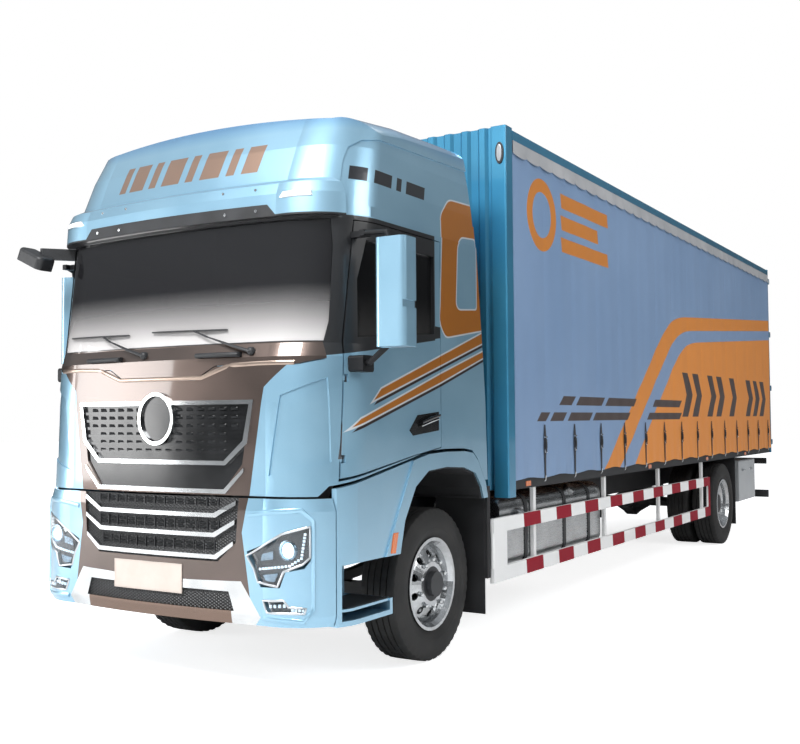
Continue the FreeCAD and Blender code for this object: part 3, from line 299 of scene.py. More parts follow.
# %% Cab livery
ORANGE, LINE_WHITE, LINE_DARK, TRIM_GREY, BAND_BLACK = "#C77B2B", "#E9EDF0", "#3B2E2B", "#4C4D50", "#17181A"
STRIPES = [
    [(0.527, 1.769), (2.040, 2.214), (2.042, 2.288), (0.613, 1.841)],
    [(0.248, 1.558), (1.378, 1.903), (2.051, 2.092), (2.053, 2.153), (1.378, 1.959), (0.392, 1.657)],
]
DARK_DROP, LINE_WIDTH, SKIN_X = 0.030, 0.011, 1.196
FRAME_OUTER = [(1.370, 2.300), (1.450, 2.215), (2.200, 2.330), (2.200, 3.215), (1.560, 3.190), (1.420, 3.060)]
FRAME_INNER = [(1.600, 2.450), (1.640, 2.415), (1.925, 2.440), (1.925, 2.965), (1.700, 2.950), (1.630, 2.880)]
BAND_FOOT, BAND_REAR, BAND_TOP = [(0.05, 2.015), (1.41, 2.197)], 1.300, 2.893
BAND_TAIL = [(1.297, 2.190), (1.44, 2.212), (1.80, 2.262), (1.44, 2.275), (1.375, 2.36), (1.375, BAND_TOP),
             (1.297, BAND_TOP)]


def livery(finish):
    tree = finish.node_tree
    skin = beyond(tree, SKIN_X)
    for outline in STRIPES:
        stripe = least(tree, [convex(tree, outline), skin])
        shadow = least(tree, [convex(tree, [(y, z - DARK_DROP) for y, z in outline]), skin])
        stencil(finish, LINE_DARK, inside(tree, shadow))
        stencil(finish, LINE_WHITE, inside(tree, stripe, LINE_WIDTH))
        stencil(finish, ORANGE, inside(tree, stripe))
    band = least(tree, [edge(tree, *BAND_FOOT), along(tree, (0, -1, 0), BAND_REAR + CAB_FACE),
                        along(tree, (0, 0, -1), BAND_TOP)])
    tail = least(tree, [convex(tree, BAND_TAIL), skin])
    stencil(finish, BAND_BLACK, inside(tree, most(tree, [band, tail])), Metallic=0.0)
    hole = add(tree, "Math", (convex(tree, FRAME_INNER, rounding=0.04), -1.0), operation="MULTIPLY")
    ring = least(tree, [convex(tree, FRAME_OUTER, rounding=0.06), hole, skin])
    stencil(finish, LINE_WHITE, inside(tree, ring, LINE_WIDTH))
    stencil(finish, ORANGE, inside(tree, ring))


CAB_PAINT = lacquered_paint("ice_blue_cab_livery", *ICE)
livery(CAB_PAINT)
print(CAB_PAINT.name, "has", len(CAB_PAINT.node_tree.nodes), "nodes")

# %% [markdown]
# Inside, the same pressing is lined with grey trim, so the paint stops where the cab's room
# begins. The room is a box with a sloping front, a few millimetres inside the skin.

# %% Cab lining
ROOM_X, ROOM_FOOT, ROOM_TOP, ROOM_REAR = 1.198, 1.42, 2.875, 2.035
ROOM_FRONT, ROOM_SLOPE = (0.33, 2.1), 0.16
tree = CAB_PAINT.node_tree
sloping = along(tree, (0, 1, -ROOM_SLOPE), ROOM_SLOPE * ROOM_FRONT[1] - CAB_FACE - ROOM_FRONT[0])
room = least(tree, [add(tree, "Math", (beyond(tree, ROOM_X), -1.0), operation="MULTIPLY"), sloping,
                    along(tree, (0, 0, 1), -ROOM_FOOT), along(tree, (0, 0, -1), ROOM_TOP),
                    along(tree, (0, -1, 0), ROOM_REAR + CAB_FACE)])
stencil(CAB_PAINT, TRIM_GREY, inside(tree, room), Metallic=0.0, Coat_Weight=0.0, Roughness=0.8)
dress(CAB_PAINT, "cab_shell", "door_left", "door_right")

# %% [markdown]
# The fairing carries on the frame of the cab's side and has plain slanted bars of its own:
# bronze ones across the front and dark ones on each side. Its crown mirrors the sky, and that
# reflection is painted in: the colour deepens to a stronger blue over the last 0.17 m.

# %% Fairing bars
FRONT_BARS = [(-0.640, -0.575), (-0.535, -0.400), (-0.345, -0.280), (-0.225, -0.065), (-0.010, 0.055),
              (0.115, 0.275), (0.330, 0.395), (0.450, 0.575)]
SIDE_BARS = [(0.40, 0.52), (0.58, 0.78), (0.84, 0.90), (0.96, 1.20)]
FRONT_BAR_FOOT, FRONT_BAR_TOP, FRONT_BAR_REACH = 3.205, 3.395, 0.62
SIDE_BAR_FOOT, SIDE_BAR_TOP, SIDE_BAR_X = 3.125, 3.215, 1.0
PAINTED_SKY_BLUE, CROWN_FOOT, CROWN_TOP, SKY_REFLECTION_SHARE = "#2E78B8", 3.47, 3.64, 0.85
FAIRING_PAINT = lacquered_paint("ice_blue_fairing_livery", *ICE)
livery(FAIRING_PAINT)
tree = FAIRING_PAINT.node_tree
front_bars = least(tree, [slanted_bars(tree, FRONT_BARS, FRONT_BAR_FOOT, FRONT_BAR_TOP, 0.10, "front"),
                          along(tree, (0, -1, 0), CAB_FACE + FRONT_BAR_REACH)])
side_bars = least(tree, [slanted_bars(tree, SIDE_BARS, SIDE_BAR_FOOT, SIDE_BAR_TOP, 0.35),
                         beyond(tree, SIDE_BAR_X)])
stencil(FAIRING_PAINT, "#957A69", inside(tree, front_bars))
stencil(FAIRING_PAINT, "#2A2C30", inside(tree, side_bars))
# Painted reflection of the sky: the top 0.17 m of the fairing turns a stronger blue.
crown = add(tree, "MapRange", {"Value": along(tree, (0, 0, 1)), 1: CROWN_FOOT, 2: CROWN_TOP, 4: SKY_REFLECTION_SHARE})
stencil(FAIRING_PAINT, PAINTED_SKY_BLUE, crown)
dress(FAIRING_PAINT, "roof_fairing")

# %% [markdown]
# Side guards are white extrusions with crimson reflective tape, in blocks a third of a metre
# long, so that the long gap between the wheels is seen at night. Enamel without lacquer is
# matt, so the coat is left off and the specular level is low.

# %% Guard tape
TAPE_PITCH, TAPE_START, TAPE_LEAN, GUARD_FACE = 0.66, 2.47, 0.12, 1.238
GUARD_PAINT = lacquered_paint("white_guard_enamel_with_tape", "#EDEDEC", "#E4E4E3", metallic=0.0,
                              base_rough=0.6, coat=0.0)
tree = GUARD_PAINT.node_tree
tree.nodes["Principled BSDF"].inputs["Specular IOR Level"].default_value = 0.2
start = -(CAB_FACE + TAPE_START)
turns = add(tree, "Math", (along(tree, (0, 1, TAPE_LEAN), start), 1 / TAPE_PITCH), operation="MULTIPLY")
block = add(tree, "Math", (add(tree, "Math", (turns,), operation="FRACT"), 0.5), operation="SUBTRACT")
taped = least(tree, [block, along(tree, (0, 1, 0), start), beyond(tree, GUARD_FACE)])
stencil(GUARD_PAINT, "#8C1024", inside(tree, taped))
dress(GUARD_PAINT, "side_guards")

# %% [markdown]
# The chassis is dipped in a thick black paint that dries slightly uneven and gathers dust.
# Plastic trims are moulded with a fine leather-like grain, drawn at 3 mm, that breaks up
# their highlights.

# %% Chassis paint and grained plastic
def matt_black(name, light, dark, grain_mm, rough, depth_mm):
    made, tree, shader = material(name)
    dust = add(tree, "TexNoise", {"Vector": object_point(tree), "Scale": 1000 / 160, "Detail": 3.0})
    tone = add(tree, "ValToRGB", {"Fac": dust}, stops=[(0.35, dark), (0.7, light)])
    plug(shader.inputs["Base Color"], tone)
    plug(shader.inputs["Roughness"], add(tree, "MapRange", {"Value": dust, 3: rough - 0.08, 4: rough + 0.1}))
    grain = add(tree, "TexNoise", {"Vector": object_point(tree), "Scale": 1000 / grain_mm, "Detail": 3.0})
    relief = add(tree, "Bump", {"Height": grain, "Strength": 0.35, "Distance": depth_mm / 1000})
    plug(shader.inputs["Normal"], relief)
    return made


CHASSIS_PAINT = matt_black("dipped_chassis_paint", "#2B2C2E", "#1A1B1D", 14, 0.55, 0.5)
GRAINED_PLASTIC = matt_black("grained_black_polypropylene", "#26272A", "#191A1C", 3.0, 0.5, 0.4)
GLOSS_BLACK = matt_black("gloss_black_moulding", "#141517", "#0D0E0F", 3.0, 0.18, 0.1)
CAST_IRON = matt_black("cast_iron_engine", "#4A4B4C", "#343536", 4.0, 0.6, 0.8)
dress(CHASSIS_PAINT, "frame_rails", "front_axle", "rear_axle", "leaf_springs", "drive_line", "underrun_bar",
      "tank_brackets", "cross_members", "knuckle_left", "knuckle_right")
dress(GRAINED_PLASTIC, "battery_box", "steering_wheel", "kerb_mirror", "sun_visor")
dress(GLOSS_BLACK, "upper_grille")
dress(matt_black("grey_dashboard_skin", "#5B5C5F", "#4C4D50", 3.0, 0.75, 0.5), "dashboard")
dress(CAST_IRON, "engine")

# %% [markdown]
# The mesh behind the lower bars is a honeycomb. Three sine waves at 60 degrees to each other
# add up to one, and where their sum is high there is a hole. Real cells are about 11 mm wide
# and are drawn at 16 mm so that they still show.

# %% Grille mesh
MESH_CELL = 0.016
MESH_PLASTIC = matt_black("honeycomb_grille_mesh", "#202124", "#161719", 3.0, 0.4, 0.1)
tree = MESH_PLASTIC.node_tree
cells = 0.0
for way in ((1, 0, 0), (0.5, 0, 0.87), (-0.5, 0, 0.87)):
    wave = add(tree, "Math", (along(tree, [2 * math.pi / MESH_CELL * n for n in way]),), operation="SINE")
    cells = add(tree, "Math", (wave, cells), operation="ADD")
# The holes are painted near black: painted shade inside the cells.
stencil(MESH_PLASTIC, "#050505", add(tree, "MapRange", {"Value": cells, 1: -0.2, 2: 0.9}))
hollow = add(tree, "Math", (cells, -1.0), operation="MULTIPLY")
relief = add(tree, "Bump", {"Height": hollow, "Strength": 0.6, "Distance": 0.003})
plug(tree.nodes["Principled BSDF"].inputs["Normal"], relief)
dress(MESH_PLASTIC, "lower_grille")

# %% [markdown]
# The rear mudguards and flaps are dull black mouldings with a coarse grain of about 5 mm.

# %% Mudguards
MOULDED_RUBBER = matt_black("moulded_mudguard_plastic", "#232325", "#161618", 5.0, 0.7, 0.5)
dress(MOULDED_RUBBER, "mudguards")

# %% [markdown]
# A door mirror is a painted shell on a black arm. The shell is the outer, upper part of the
# node, so a box that turns with the folded right mirror tells the shell from the arm.

# %% Mirror shells
FOLD_POINT = Vector((-1.290, CAB_FACE + 0.345))
FOLD_ANGLE = math.radians(-62)
HEAD_LOW, HEAD_HIGH = (1.416, 0.20), (1.66, 0.402)
HEAD_Z = (2.072, 2.718)


def head_outline(side):
    (x0, y0), (x1, y1) = HEAD_LOW, HEAD_HIGH
    points = [Vector((side * x, y + CAB_FACE)) for x, y in ((x0, y0), (x1, y0), (x1, y1), (x0, y1))]
    if side < 0:
        turn = Matrix.Rotation(FOLD_ANGLE, 2)
        points = [FOLD_POINT + turn @ (p - FOLD_POINT) for p in points]
    return [tuple(p) for p in points]


for side in SIDES:
    made = lacquered_paint("painted_mirror_shell_" + LEFT_RIGHT[side], *ICE, metallic=0.6)
    tree = made.node_tree
    shell = least(tree, [convex(tree, head_outline(side), "top"), along(tree, (0, 0, 1), -HEAD_Z[0]),
                         along(tree, (0, 0, -1), HEAD_Z[1])])
    arm = add(tree, "Math", (1.0, inside(tree, shell)), operation="SUBTRACT")
    stencil(made, "#1C1D1F", arm, Coat_Weight=0.0, Roughness=0.5)
    dress(made, "mirror_" + LEFT_RIGHT[side])

# %% [markdown]
# Bright metals differ by how they were worked. Chrome plate is mirror smooth. The fuel tank
# is rolled aluminium sheet, polished, with fine lines along its length. The wheels are
# polished forgings whose hub is painted dark.

# %% Bright metals
def bright_metal(name, colour, rough, line_mm=None, wash_mm=220):
    made, tree, shader = material(name, Metallic=1.0, Roughness=rough)
    wash = add(tree, "TexNoise", {"Vector": object_point(tree), "Scale": 1000 / wash_mm, "Detail": 3.0})
    dark = "#" + "".join(f"{int(int(colour[i:i + 2], 16) * 0.88):02X}" for i in (1, 3, 5))
    tone = add(tree, "ValToRGB", {"Fac": wash}, stops=[(0.3, dark), (0.7, colour)])
    plug(shader.inputs["Base Color"], tone)
    if line_mm:
        # Rolling lines are about fifty times as long as they are wide.
        point = add(tree, "Mapping", {"Vector": object_point(tree), "Scale": (1, 0.02, 1)})
        lines = add(tree, "TexNoise", {"Vector": point, "Scale": 1000 / line_mm, "Detail": 2.0})
        span = add(tree, "MapRange", {"Value": lines, 3: rough - 0.06, 4: rough + 0.12})
        plug(shader.inputs["Roughness"], span)
        relief = add(tree, "Bump", {"Height": lines, "Strength": 0.12, "Distance": 0.0001})
        plug(shader.inputs["Normal"], relief)
    return made


CHROME = bright_metal("satin_chrome_plate", "#DADCDD", 0.16)
ALUMINIUM = bright_metal("rolled_polished_aluminium", "#B4B6B7", 0.24, line_mm=3.0)
dress(CHROME, "grille_trim")
dress(ALUMINIUM, "fuel_tank")

# %% Skid trim
# The silver trim under the plate has a bronze lip between its two ends.
LIP_HALF, LIP_FOOT, LIP_TOP = 0.598, 0.420, 0.548
TRIM_PLATE = bright_metal("satin_skid_trim", "#DADCDD", 0.24)
tree = TRIM_PLATE.node_tree
lip = convex(tree, [(-LIP_HALF, LIP_FOOT), (LIP_HALF, LIP_FOOT), (LIP_HALF, LIP_TOP), (-LIP_HALF, LIP_TOP)],
             "front")
stencil(TRIM_PLATE, "#7D6B61", inside(tree, lip))
dress(TRIM_PLATE, "bumper_trim")

# %% Wheels
AXLE_Z = 0.5204
WHEEL_Y = {"front": -4.47, "rear": 3.08}
# The hub is painted dark out to the radius; on a front wheel, all that lies inboard of the width is dark too,
# as painted shade.
HUB_PAINT_RADIUS, PAINTED_SHADE_X = 0.118, 0.98
for axle, y in WHEEL_Y.items():
    made = bright_metal("polished_forged_wheel_" + axle, "#C6C8CA", 0.24, wash_mm=60)
    tree = made.node_tree
    middle = (0, -y, -AXLE_Z)
    spoke = add(tree, "VectorMath", (object_point(tree), (0, 1, 1), middle), operation="MULTIPLY_ADD")
    radius = add(tree, "VectorMath", (spoke,), operation="LENGTH").outputs["Value"]
    hub_paint_and_shade = add(tree, "Math", (HUB_PAINT_RADIUS, radius), operation="SUBTRACT")
    if axle == "front":
        # A front wheel is dished outwards, and what lies behind its disc is painted dark as well:
        # painted shade in its holes and barrel.
        hub_paint_and_shade = most(tree, [hub_paint_and_shade, add(tree, "Math", (beyond(tree, PAINTED_SHADE_X), -1.0), operation="MULTIPLY")])
    stencil(made, "#3A3B3D", inside(tree, hub_paint_and_shade), Metallic=0.3, Roughness=0.5)
    prefix = "rim_front_" if axle == "front" else "rims_rear_"
    dress(made, prefix + "left", prefix + "right")

# %% [markdown]
# Windscreens are laminated glass with a grey tint, darkest at the top where a tinted band keeps
# the sun out. Glass that is a closed solid bends light on both faces, as the real sheet does,
# so the IOR is 1.45. Towards the bottom a pale, less clear colour takes over from the tint: it
# is a painted reflection of the sky.

# %% Glass and lamp lenses
TINT_FROM = 0.52


def glass(name, low, high, span, pale_lower_share=0.0):
    made, tree, shader = material(name, IOR=1.45, Roughness=0.0, Transmission_Weight=1.0)
    height = add(tree, "MapRange", {"Value": along(tree, (0, 0, 1)), 1: span[0], 2: span[1]})
    tone = add(tree, "ValToRGB", {"Fac": height}, stops=[(0.0, low), (TINT_FROM, high)])
    plug(shader.inputs["Base Color"], tone)
    # A paler, less clear lower part; on the windscreen it is a painted reflection of the sky.
    if pale_lower_share:
        cover = add(tree, "MapRange", {"Value": height, 2: TINT_FROM, 3: 1 - pale_lower_share, 4: 1 - pale_lower_share * 0.35})
        plug(shader.inputs["Transmission Weight"], cover)
    return made


# The windscreen's pale foot is a painted reflection of the sky; its dark top is the tint.
WINDSCREEN_GLASS = glass("laminated_windscreen_glass", "#D2CFCE", "#2C2C2F", (2.12, 2.80), pale_lower_share=0.80)
DOOR_GLASS = glass("tinted_door_glass", "#6C6A68", "#2E2F32", (2.15, 2.75), pale_lower_share=0.25)
LENS_GLASS = glass("clear_lamp_lens", "#E9F3FA", "#F4F8FB", (0.5, 1.1))
dress(WINDSCREEN_GLASS, "windscreen")
dress(DOOR_GLASS, "door_glass_left", "door_glass_right")
dress(LENS_GLASS, "headlamps")

# %% [markdown]
# Tyre rubber is nearly black with a brown-grey bloom. Seat cloth and curtain cloth are woven,
# and their 1 mm weave is drawn at 3 to 4 mm so that it shows.

# %% Rubber, cloth and wood
TYRE_RUBBER = matt_black("vulcanised_tyre_rubber", "#2A2928", "#191919", 6.0, 0.7, 0.6)
RED_LENS = lacquered_paint("moulded_red_lens", "#B01612", "#8E0F0C", metallic=0.0, base_rough=0.25)
AMBER_LENS = lacquered_paint("moulded_amber_lens", "#E0762A", "#C65F1C", metallic=0.0, base_rough=0.25)
dress(TYRE_RUBBER, "tyre_front_left", "tyre_front_right", "tyres_rear_left", "tyres_rear_right")
dress(RED_LENS, "tail_lamps")


def woven(name, light, dark, thread_mm, rough, sheen=0.2, axes=(1, 2), wash_mm=500):
    made, tree, shader = material(name, Sheen_Weight=sheen, Roughness=rough)
    wash = add(tree, "TexNoise", {"Vector": object_point(tree), "Scale": 1000 / wash_mm, "Detail": 3.0})
    tone = add(tree, "ValToRGB", {"Fac": wash}, stops=[(0.3, dark), (0.7, light)])
    plug(shader.inputs["Base Color"], tone)
    # Warp and weft are two crossed sine waves, and their product is the weave's relief.
    parts = add(tree, "SeparateXYZ", (object_point(tree),))
    threads = []
    for axis in axes:
        turns = add(tree, "Math", (parts.outputs[axis], 2 * math.pi * 1000 / thread_mm), operation="MULTIPLY")
        threads.append(add(tree, "Math", (turns,), operation="SINE"))
    weave = add(tree, "Math", threads, operation="MULTIPLY")
    plug(shader.inputs["Normal"], add(tree, "Bump", {"Height": weave, "Strength": 0.15, "Distance": 0.0003}))
    return made


SEAT_CLOTH = woven("woven_seat_cloth", "#3C3D42", "#2E2F33", 3.0, 0.85)
VALANCE_CLOTH = woven("grey_valance_cloth", "#A9AAAC", "#949699", 4.0, 0.6, sheen=0.05)
dress(SEAT_CLOTH, "seats")
dress(VALANCE_CLOTH, "valances")

# %% Deck
# The floor is phenolic-faced plywood with a wire-mesh pattern, in a steel side rail.
DECK_EDGE = 1.19
PLYWOOD = woven("film_faced_plywood_deck", "#6B4A33", "#553A28", 9.0, 0.6, sheen=0.0, axes=(0, 1))
stencil(PLYWOOD, "#232426", inside(PLYWOOD.node_tree, beyond(PLYWOOD.node_tree, DECK_EDGE)))
dress(PLYWOOD, "deck")

# %% [markdown]
# The curtain is a coated tarpaulin, printed before it is hung. An orange band climbs from the
# sill, turns a large round corner and runs back along the top. A plain gap follows it, and the
# field inside is orange again. Two rows of dark dashes lead up to it.

# %% Curtain band and dashes
TARPAULIN = woven("coated_polyester_tarpaulin", "#7A94B5", "#6E89AB", 4.0, 0.5, sheen=0.05, wash_mm=1500)
BAND_SLOPE, TOP_SLOPE, BAND_ROUND = 0.7487, 0.0680, 0.42
BAND_EDGES = [("#D0802C", 4.487, 2.905), ("#7890B1", 4.925, 2.745), ("#D88632", 5.328, 2.605)]
TOP_AT, SILL_Z, DASH_LEAN = 8.56, 1.164, 1.25
UPPER_DASHES = [(3.406, 3.696), (3.792, 4.431), (4.530, 5.358), (5.972, 6.951)]
LOWER_DASHES = [(2.936, 3.123), (3.204, 3.492), (3.593, 4.120), (4.202, 5.163), (5.777, 6.956)]
tree = TARPAULIN.node_tree
for tint, start, top in BAND_EDGES:
    climb = edge(tree, (start + 1.0, SILL_Z + BAND_SLOPE), (start, SILL_Z))
    level = edge(tree, (TOP_AT + 1.0, top + TOP_SLOPE), (TOP_AT, top))
    field = add(tree, "Math", (climb, level, BAND_ROUND), operation="SMOOTH_MIN")
    stencil(TARPAULIN, tint, inside(tree, field))
for spans, low, high in ((UPPER_DASHES, 1.762, 1.840), (LOWER_DASHES, 1.627, 1.700)):
    stencil(TARPAULIN, LINE_DARK, inside(tree, slanted_bars(tree, spans, low, high, DASH_LEAN)))
print(len(BAND_EDGES), "fields and", len(UPPER_DASHES) + len(LOWER_DASHES), "dashes on the curtain")

# %% [markdown]
# Two plain motifs finish the print: a ring with three bars near the front of the curtain, and
# a row of chevrons on the orange field.

# %% Curtain ring and chevrons
RING_CENTRE, RING_OUTER, RING_INNER = (3.08, 3.33), 0.30, 0.19
SIGN_BARS = [((3.50, 4.66), 3.46, 3.585), ((3.50, 4.40), 3.27, 3.395), ((3.50, 4.66), 3.08, 3.205)]
CHEVRONS = [(7.25, 7.50), (7.68, 7.93), (8.35, 8.60), (8.78, 9.03), (9.45, 9.70), (10.40, 10.65),
            (10.83, 11.08), (11.26, 11.51)]
CHEVRON_LOW, CHEVRON_HIGH, CHEVRON_BEND = 1.655, 2.165, 0.75
middle = (0, -RING_CENTRE[0] - CAB_FACE, -RING_CENTRE[1])
spoke = add(tree, "VectorMath", (object_point(tree), (0, 1, 1), middle), operation="MULTIPLY_ADD")
radius = add(tree, "VectorMath", (spoke,), operation="LENGTH").outputs["Value"]
sign = [slanted_bars(tree, [span], low, high, -0.2) for span, low, high in SIGN_BARS]
sign.append(between(tree, radius, RING_INNER, RING_OUTER))
stencil(TARPAULIN, "#BF7526", inside(tree, most(tree, sign)))
height = add(tree, "Math", (along(tree, (0, 0, 1), -(CHEVRON_LOW + CHEVRON_HIGH) / 2),), operation="ABSOLUTE")
bend = add(tree, "Math", (height, CHEVRON_BEND), operation="MULTIPLY")
place = add(tree, "Math", (along(tree, (0, 1, 0), -CAB_FACE), bend), operation="ADD")
marks = least(tree, [most(tree, [between(tree, place, *span) for span in CHEVRONS]),
                     along(tree, (0, 0, 1), -CHEVRON_LOW), along(tree, (0, 0, -1), CHEVRON_HIGH)])
stencil(TARPAULIN, LINE_DARK, inside(tree, marks))
dress(TARPAULIN, "curtain_left", "curtain_right")

# %% [markdown]
# Small pieces sit on the solids, so their places are found by shooting a ray at the solids,
# from the front or from the side, as a fitter holds a part against the panel. Each piece is
# a list of corners and faces, gathered in a Build, and becomes one mesh that rides on a body.

# %% Rays onto the solids
def surface_of(*names):
    corners, faces = [], []
    for name in names:
        mesh = NODES[name].data
        base = len(corners)
        corners += [v.co.copy() for v in mesh.vertices]
        faces += [tuple(base + i for i in p.vertices) for p in mesh.polygons]
    return BVHTree.FromPolygons(corners, faces)


def from_front(surface, reach=None):
    def hit(x, z):
        start = Vector((x, -7.0, z))
        place, normal = surface.ray_cast(start, Vector((0, 1, 0)))[:2]
        if place is None or (reach and place.y > reach):
            place, normal = surface.find_nearest(Vector((x, CAB_FACE, z)))[:2]
            place = Vector((x, place.y, z))
        return place, normal
    return hit


def from_side(surface, side=1):
    def hit(y, z):
        start = Vector((side * 2.0, y + CAB_FACE, z))
        place, normal = surface.ray_cast(start, Vector((-side, 0, 0)))[:2]
        if place is None:
            place, normal = surface.find_nearest(Vector((side * 1.24, y + CAB_FACE, z)))[:2]
        return place, normal
    return hit


print("rays find the panels from ahead and from the side")


# %% A piece of corners and faces
class Build:
    def __init__(self):
        self.corners = []
        self.faces = []

    def take(self, corners, faces):
        base = len(self.corners)
        self.corners += [Vector(c) for c in corners]
        self.faces += [tuple(base + i for i in face) for face in faces]

    def box(self, centre, size, turn=Matrix.Identity(3)):
        corners = [Vector(centre) + turn @ Vector((sx * size[0] / 2, sy * size[1] / 2, sz * size[2] / 2))
                   for sx in (-1, 1) for sy in (-1, 1) for sz in (-1, 1)]
        faces = [(0, 1, 3, 2), (4, 6, 7, 5), (0, 4, 5, 1), (2, 3, 7, 6), (0, 2, 6, 4), (1, 5, 7, 3)]
        self.take(corners, faces)

    def sweep(self, sections, closed=False):
        count, rows = len(sections[0]), len(sections)
        faces = []
        for i in range(rows if closed else rows - 1):
            k = (i + 1) % rows
            faces += [(i * count + j, i * count + (j + 1) % count, k * count + (j + 1) % count, k * count + j)
                      for j in range(count)]
        if not closed:
            faces += [tuple(reversed(range(count))), tuple((rows - 1) * count + j for j in range(count))]
        self.take([c for section in sections for c in section], faces)

    def mirrored(self):
        twin = Build()
        twin.take(self.corners, self.faces)
        twin.take([(-c.x, c.y, c.z) for c in self.corners], [tuple(reversed(f)) for f in self.faces])
        return twin

    def finish(self, name, look, body, slot, bevel=0.0, smooth=35, replaces=()):
        mesh = bpy.data.meshes.new(name)
        mesh.from_pydata([tuple(c) for c in self.corners], [], self.faces)
        shape = bmesh.new()
        shape.from_mesh(mesh)
        bmesh.ops.recalc_face_normals(shape, faces=shape.faces)
        if bevel:
            sharp = [e for e in shape.edges if e.is_manifold and e.calc_face_angle(0) > math.radians(30)]
            bmesh.ops.bevel(shape, geom=sharp, offset=bevel, segments=2, affect="EDGES", clamp_overlap=True)
        shape.to_mesh(mesh)
        shape.free()
        for polygon in mesh.polygons:
            polygon.use_smooth = True
        mesh.set_sharp_from_angle(angle=math.radians(smooth))
        mesh.materials.append(look)
        made = bpy.data.objects.new(name, mesh)
        bpy.context.scene.collection.objects.link(made)
        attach(made, body)
        if replaces:
            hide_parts(*replaces)
        print(name, len(mesh.polygons), "faces")
        return made


def resampled(points, step, closed=False):
    points = [Vector(p) for p in points]
    ends = points[1:] + points[:1] if closed else points[1:]
    result = []
    for a, b in zip(points, ends):
        count = max(1, round((b - a).length / step))
        result += [a.lerp(b, i / count) for i in range(count)]
    return result if closed else result + [points[-1]]


print("a line of 1 m in steps of 0.25 m has", len(resampled([(0, 0, 0), (1, 0, 0)], 0.25)), "points")

# %% [markdown]
# Wire, hose, strip and lever are all tubes: a ring of corners is carried along a line of
# points. The ring's side direction is passed on from point to point, so that it never twists.

# %% Tubes
def neighbours(points, i, closed):
    before = points[i - 1] if i or closed else points[i]
    after = points[(i + 1) % len(points)] if i + 1 < len(points) or closed else points[i]
    return (after - before).normalized()


def tube(build, points, radius, sides=10, flat=1.0):
    points = [Vector(p) for p in points]
    radii = radius if isinstance(radius, list) else [radius] * len(points)
    side_way = neighbours(points, 0, False).orthogonal().normalized()
    sections = []
    for i, point in enumerate(points):
        run = neighbours(points, i, False)
        side_way = (side_way - run * side_way.dot(run)).normalized()
        other = run.cross(side_way)
        sections.append([point + (side_way * math.cos(a) + other * math.sin(a) * flat) * radii[i]
                         for a in (2 * math.pi * j / sides for j in range(sides))])
    build.sweep(sections)


print("tubes are swept with 10 sides unless a piece asks for another number")

# %% [markdown]
# A trim strip is a half-round moulding pressed on a panel. It follows points of the panel,
# each with the panel's own outward direction.

# %% Mouldings
PROFILE = [(-0.5, 0.45), (-0.28, 0.9), (0.0, 1.0), (0.28, 0.9), (0.5, 0.45)]
SINK = 0.003


def moulding(build, hits, width, height, closed=False):
    # Hits are pairs of a place on the panel and the direction out of it.
    places = [place for place, out in hits]
    sections = []
    for i, (place, out) in enumerate(hits):
        side_way = out.cross(neighbours(places, i, closed)).normalized()
        profile = [(-0.5, -SINK)] + [(u, height * h) for u, h in PROFILE] + [(0.5, -SINK)]
        sections.append([place + side_way * (u * width) + out * h for u, h in profile])
    build.sweep(sections, closed)


print("mouldings are sunk", 1000 * SINK, "mm into the panel")

# %% [markdown]
# Lenses, lamp bowls and door pockets are thin plates with an outline. The outline is filled
# with small triangles, and each corner is laid on the panel, so that the plate follows it.

# %% Plates
LONGEST_EDGE = 0.048


def plate(build, outline, hit, out, lift, thick):
    grid = bmesh.new()
    grid.faces.new([grid.verts.new((a, b, 0)) for a, b in outline])
    bmesh.ops.triangulate(grid, faces=grid.faces[:])
    for _ in range(4):
        long_edges = [e for e in grid.edges if e.calc_length() > LONGEST_EDGE]
        if not long_edges:
            break
        bmesh.ops.subdivide_edges(grid, edges=long_edges, cuts=1)
        bmesh.ops.triangulate(grid, faces=grid.faces[:])
    grid.verts.index_update()
    places = [hit(vert.co.x, vert.co.y)[0] for vert in grid.verts]
    faces = [tuple(v.index for v in f.verts) for f in grid.faces]
    walls = [(e.verts[0].index, e.verts[1].index) for e in grid.edges if len(e.link_faces) == 1]
    grid.free()
    out = Vector(out)
    count = len(places)
    build.take([p + out * lift for p in places] + [p + out * (lift - thick) for p in places],
               faces + [tuple(count + i for i in reversed(f)) for f in faces]
               + [(a, b, count + b, count + a) for a, b in walls])


print("plates are cut into triangles with edges under", 1000 * LONGEST_EDGE, "mm")

# %% [markdown]
# Tyres, lamp collars and caps are turned on a lathe: one profile is carried round an axis.

# %% Lathe work
def lathe(build, profile, centre, sides=32, axis=(1, 0, 0), wave=None):
    # A profile point is (along the axis, radius). A wave lowers radii, as a tread's slots do.
    axis = Vector(axis)
    first = axis.orthogonal().normalized()
    second = axis.cross(first)
    sections = []
    for j in range(sides):
        angle = 2 * math.pi * j / sides
        way = first * math.cos(angle) + second * math.sin(angle)
        sections.append([Vector(centre) + axis * a + way * (r - (wave(i, j) if wave else 0))
                         for i, (a, r) in enumerate(profile)])
    build.sweep(sections, closed=True)


print("turned pieces have 32 steps unless a piece asks for another number")

# %% [markdown]
# A truck tyre has four grooves round its tread, 12 mm deep, and shallower slots across its
# ribs. The slots are made by lowering every third step of a rib. The side wall carries thin
# raised rings.

# %% Tyres
TYRE_RADIUS, TYRE_HALF = 0.5202, 0.1470
TREAD_HALF, RIM_SEAT, GROOVE, GROOVE_HALF = 0.118, 0.316, 0.012, 0.006
GROOVES_AT = (-0.072, -0.025, 0.025, 0.072)
TREAD_STEPS = 144

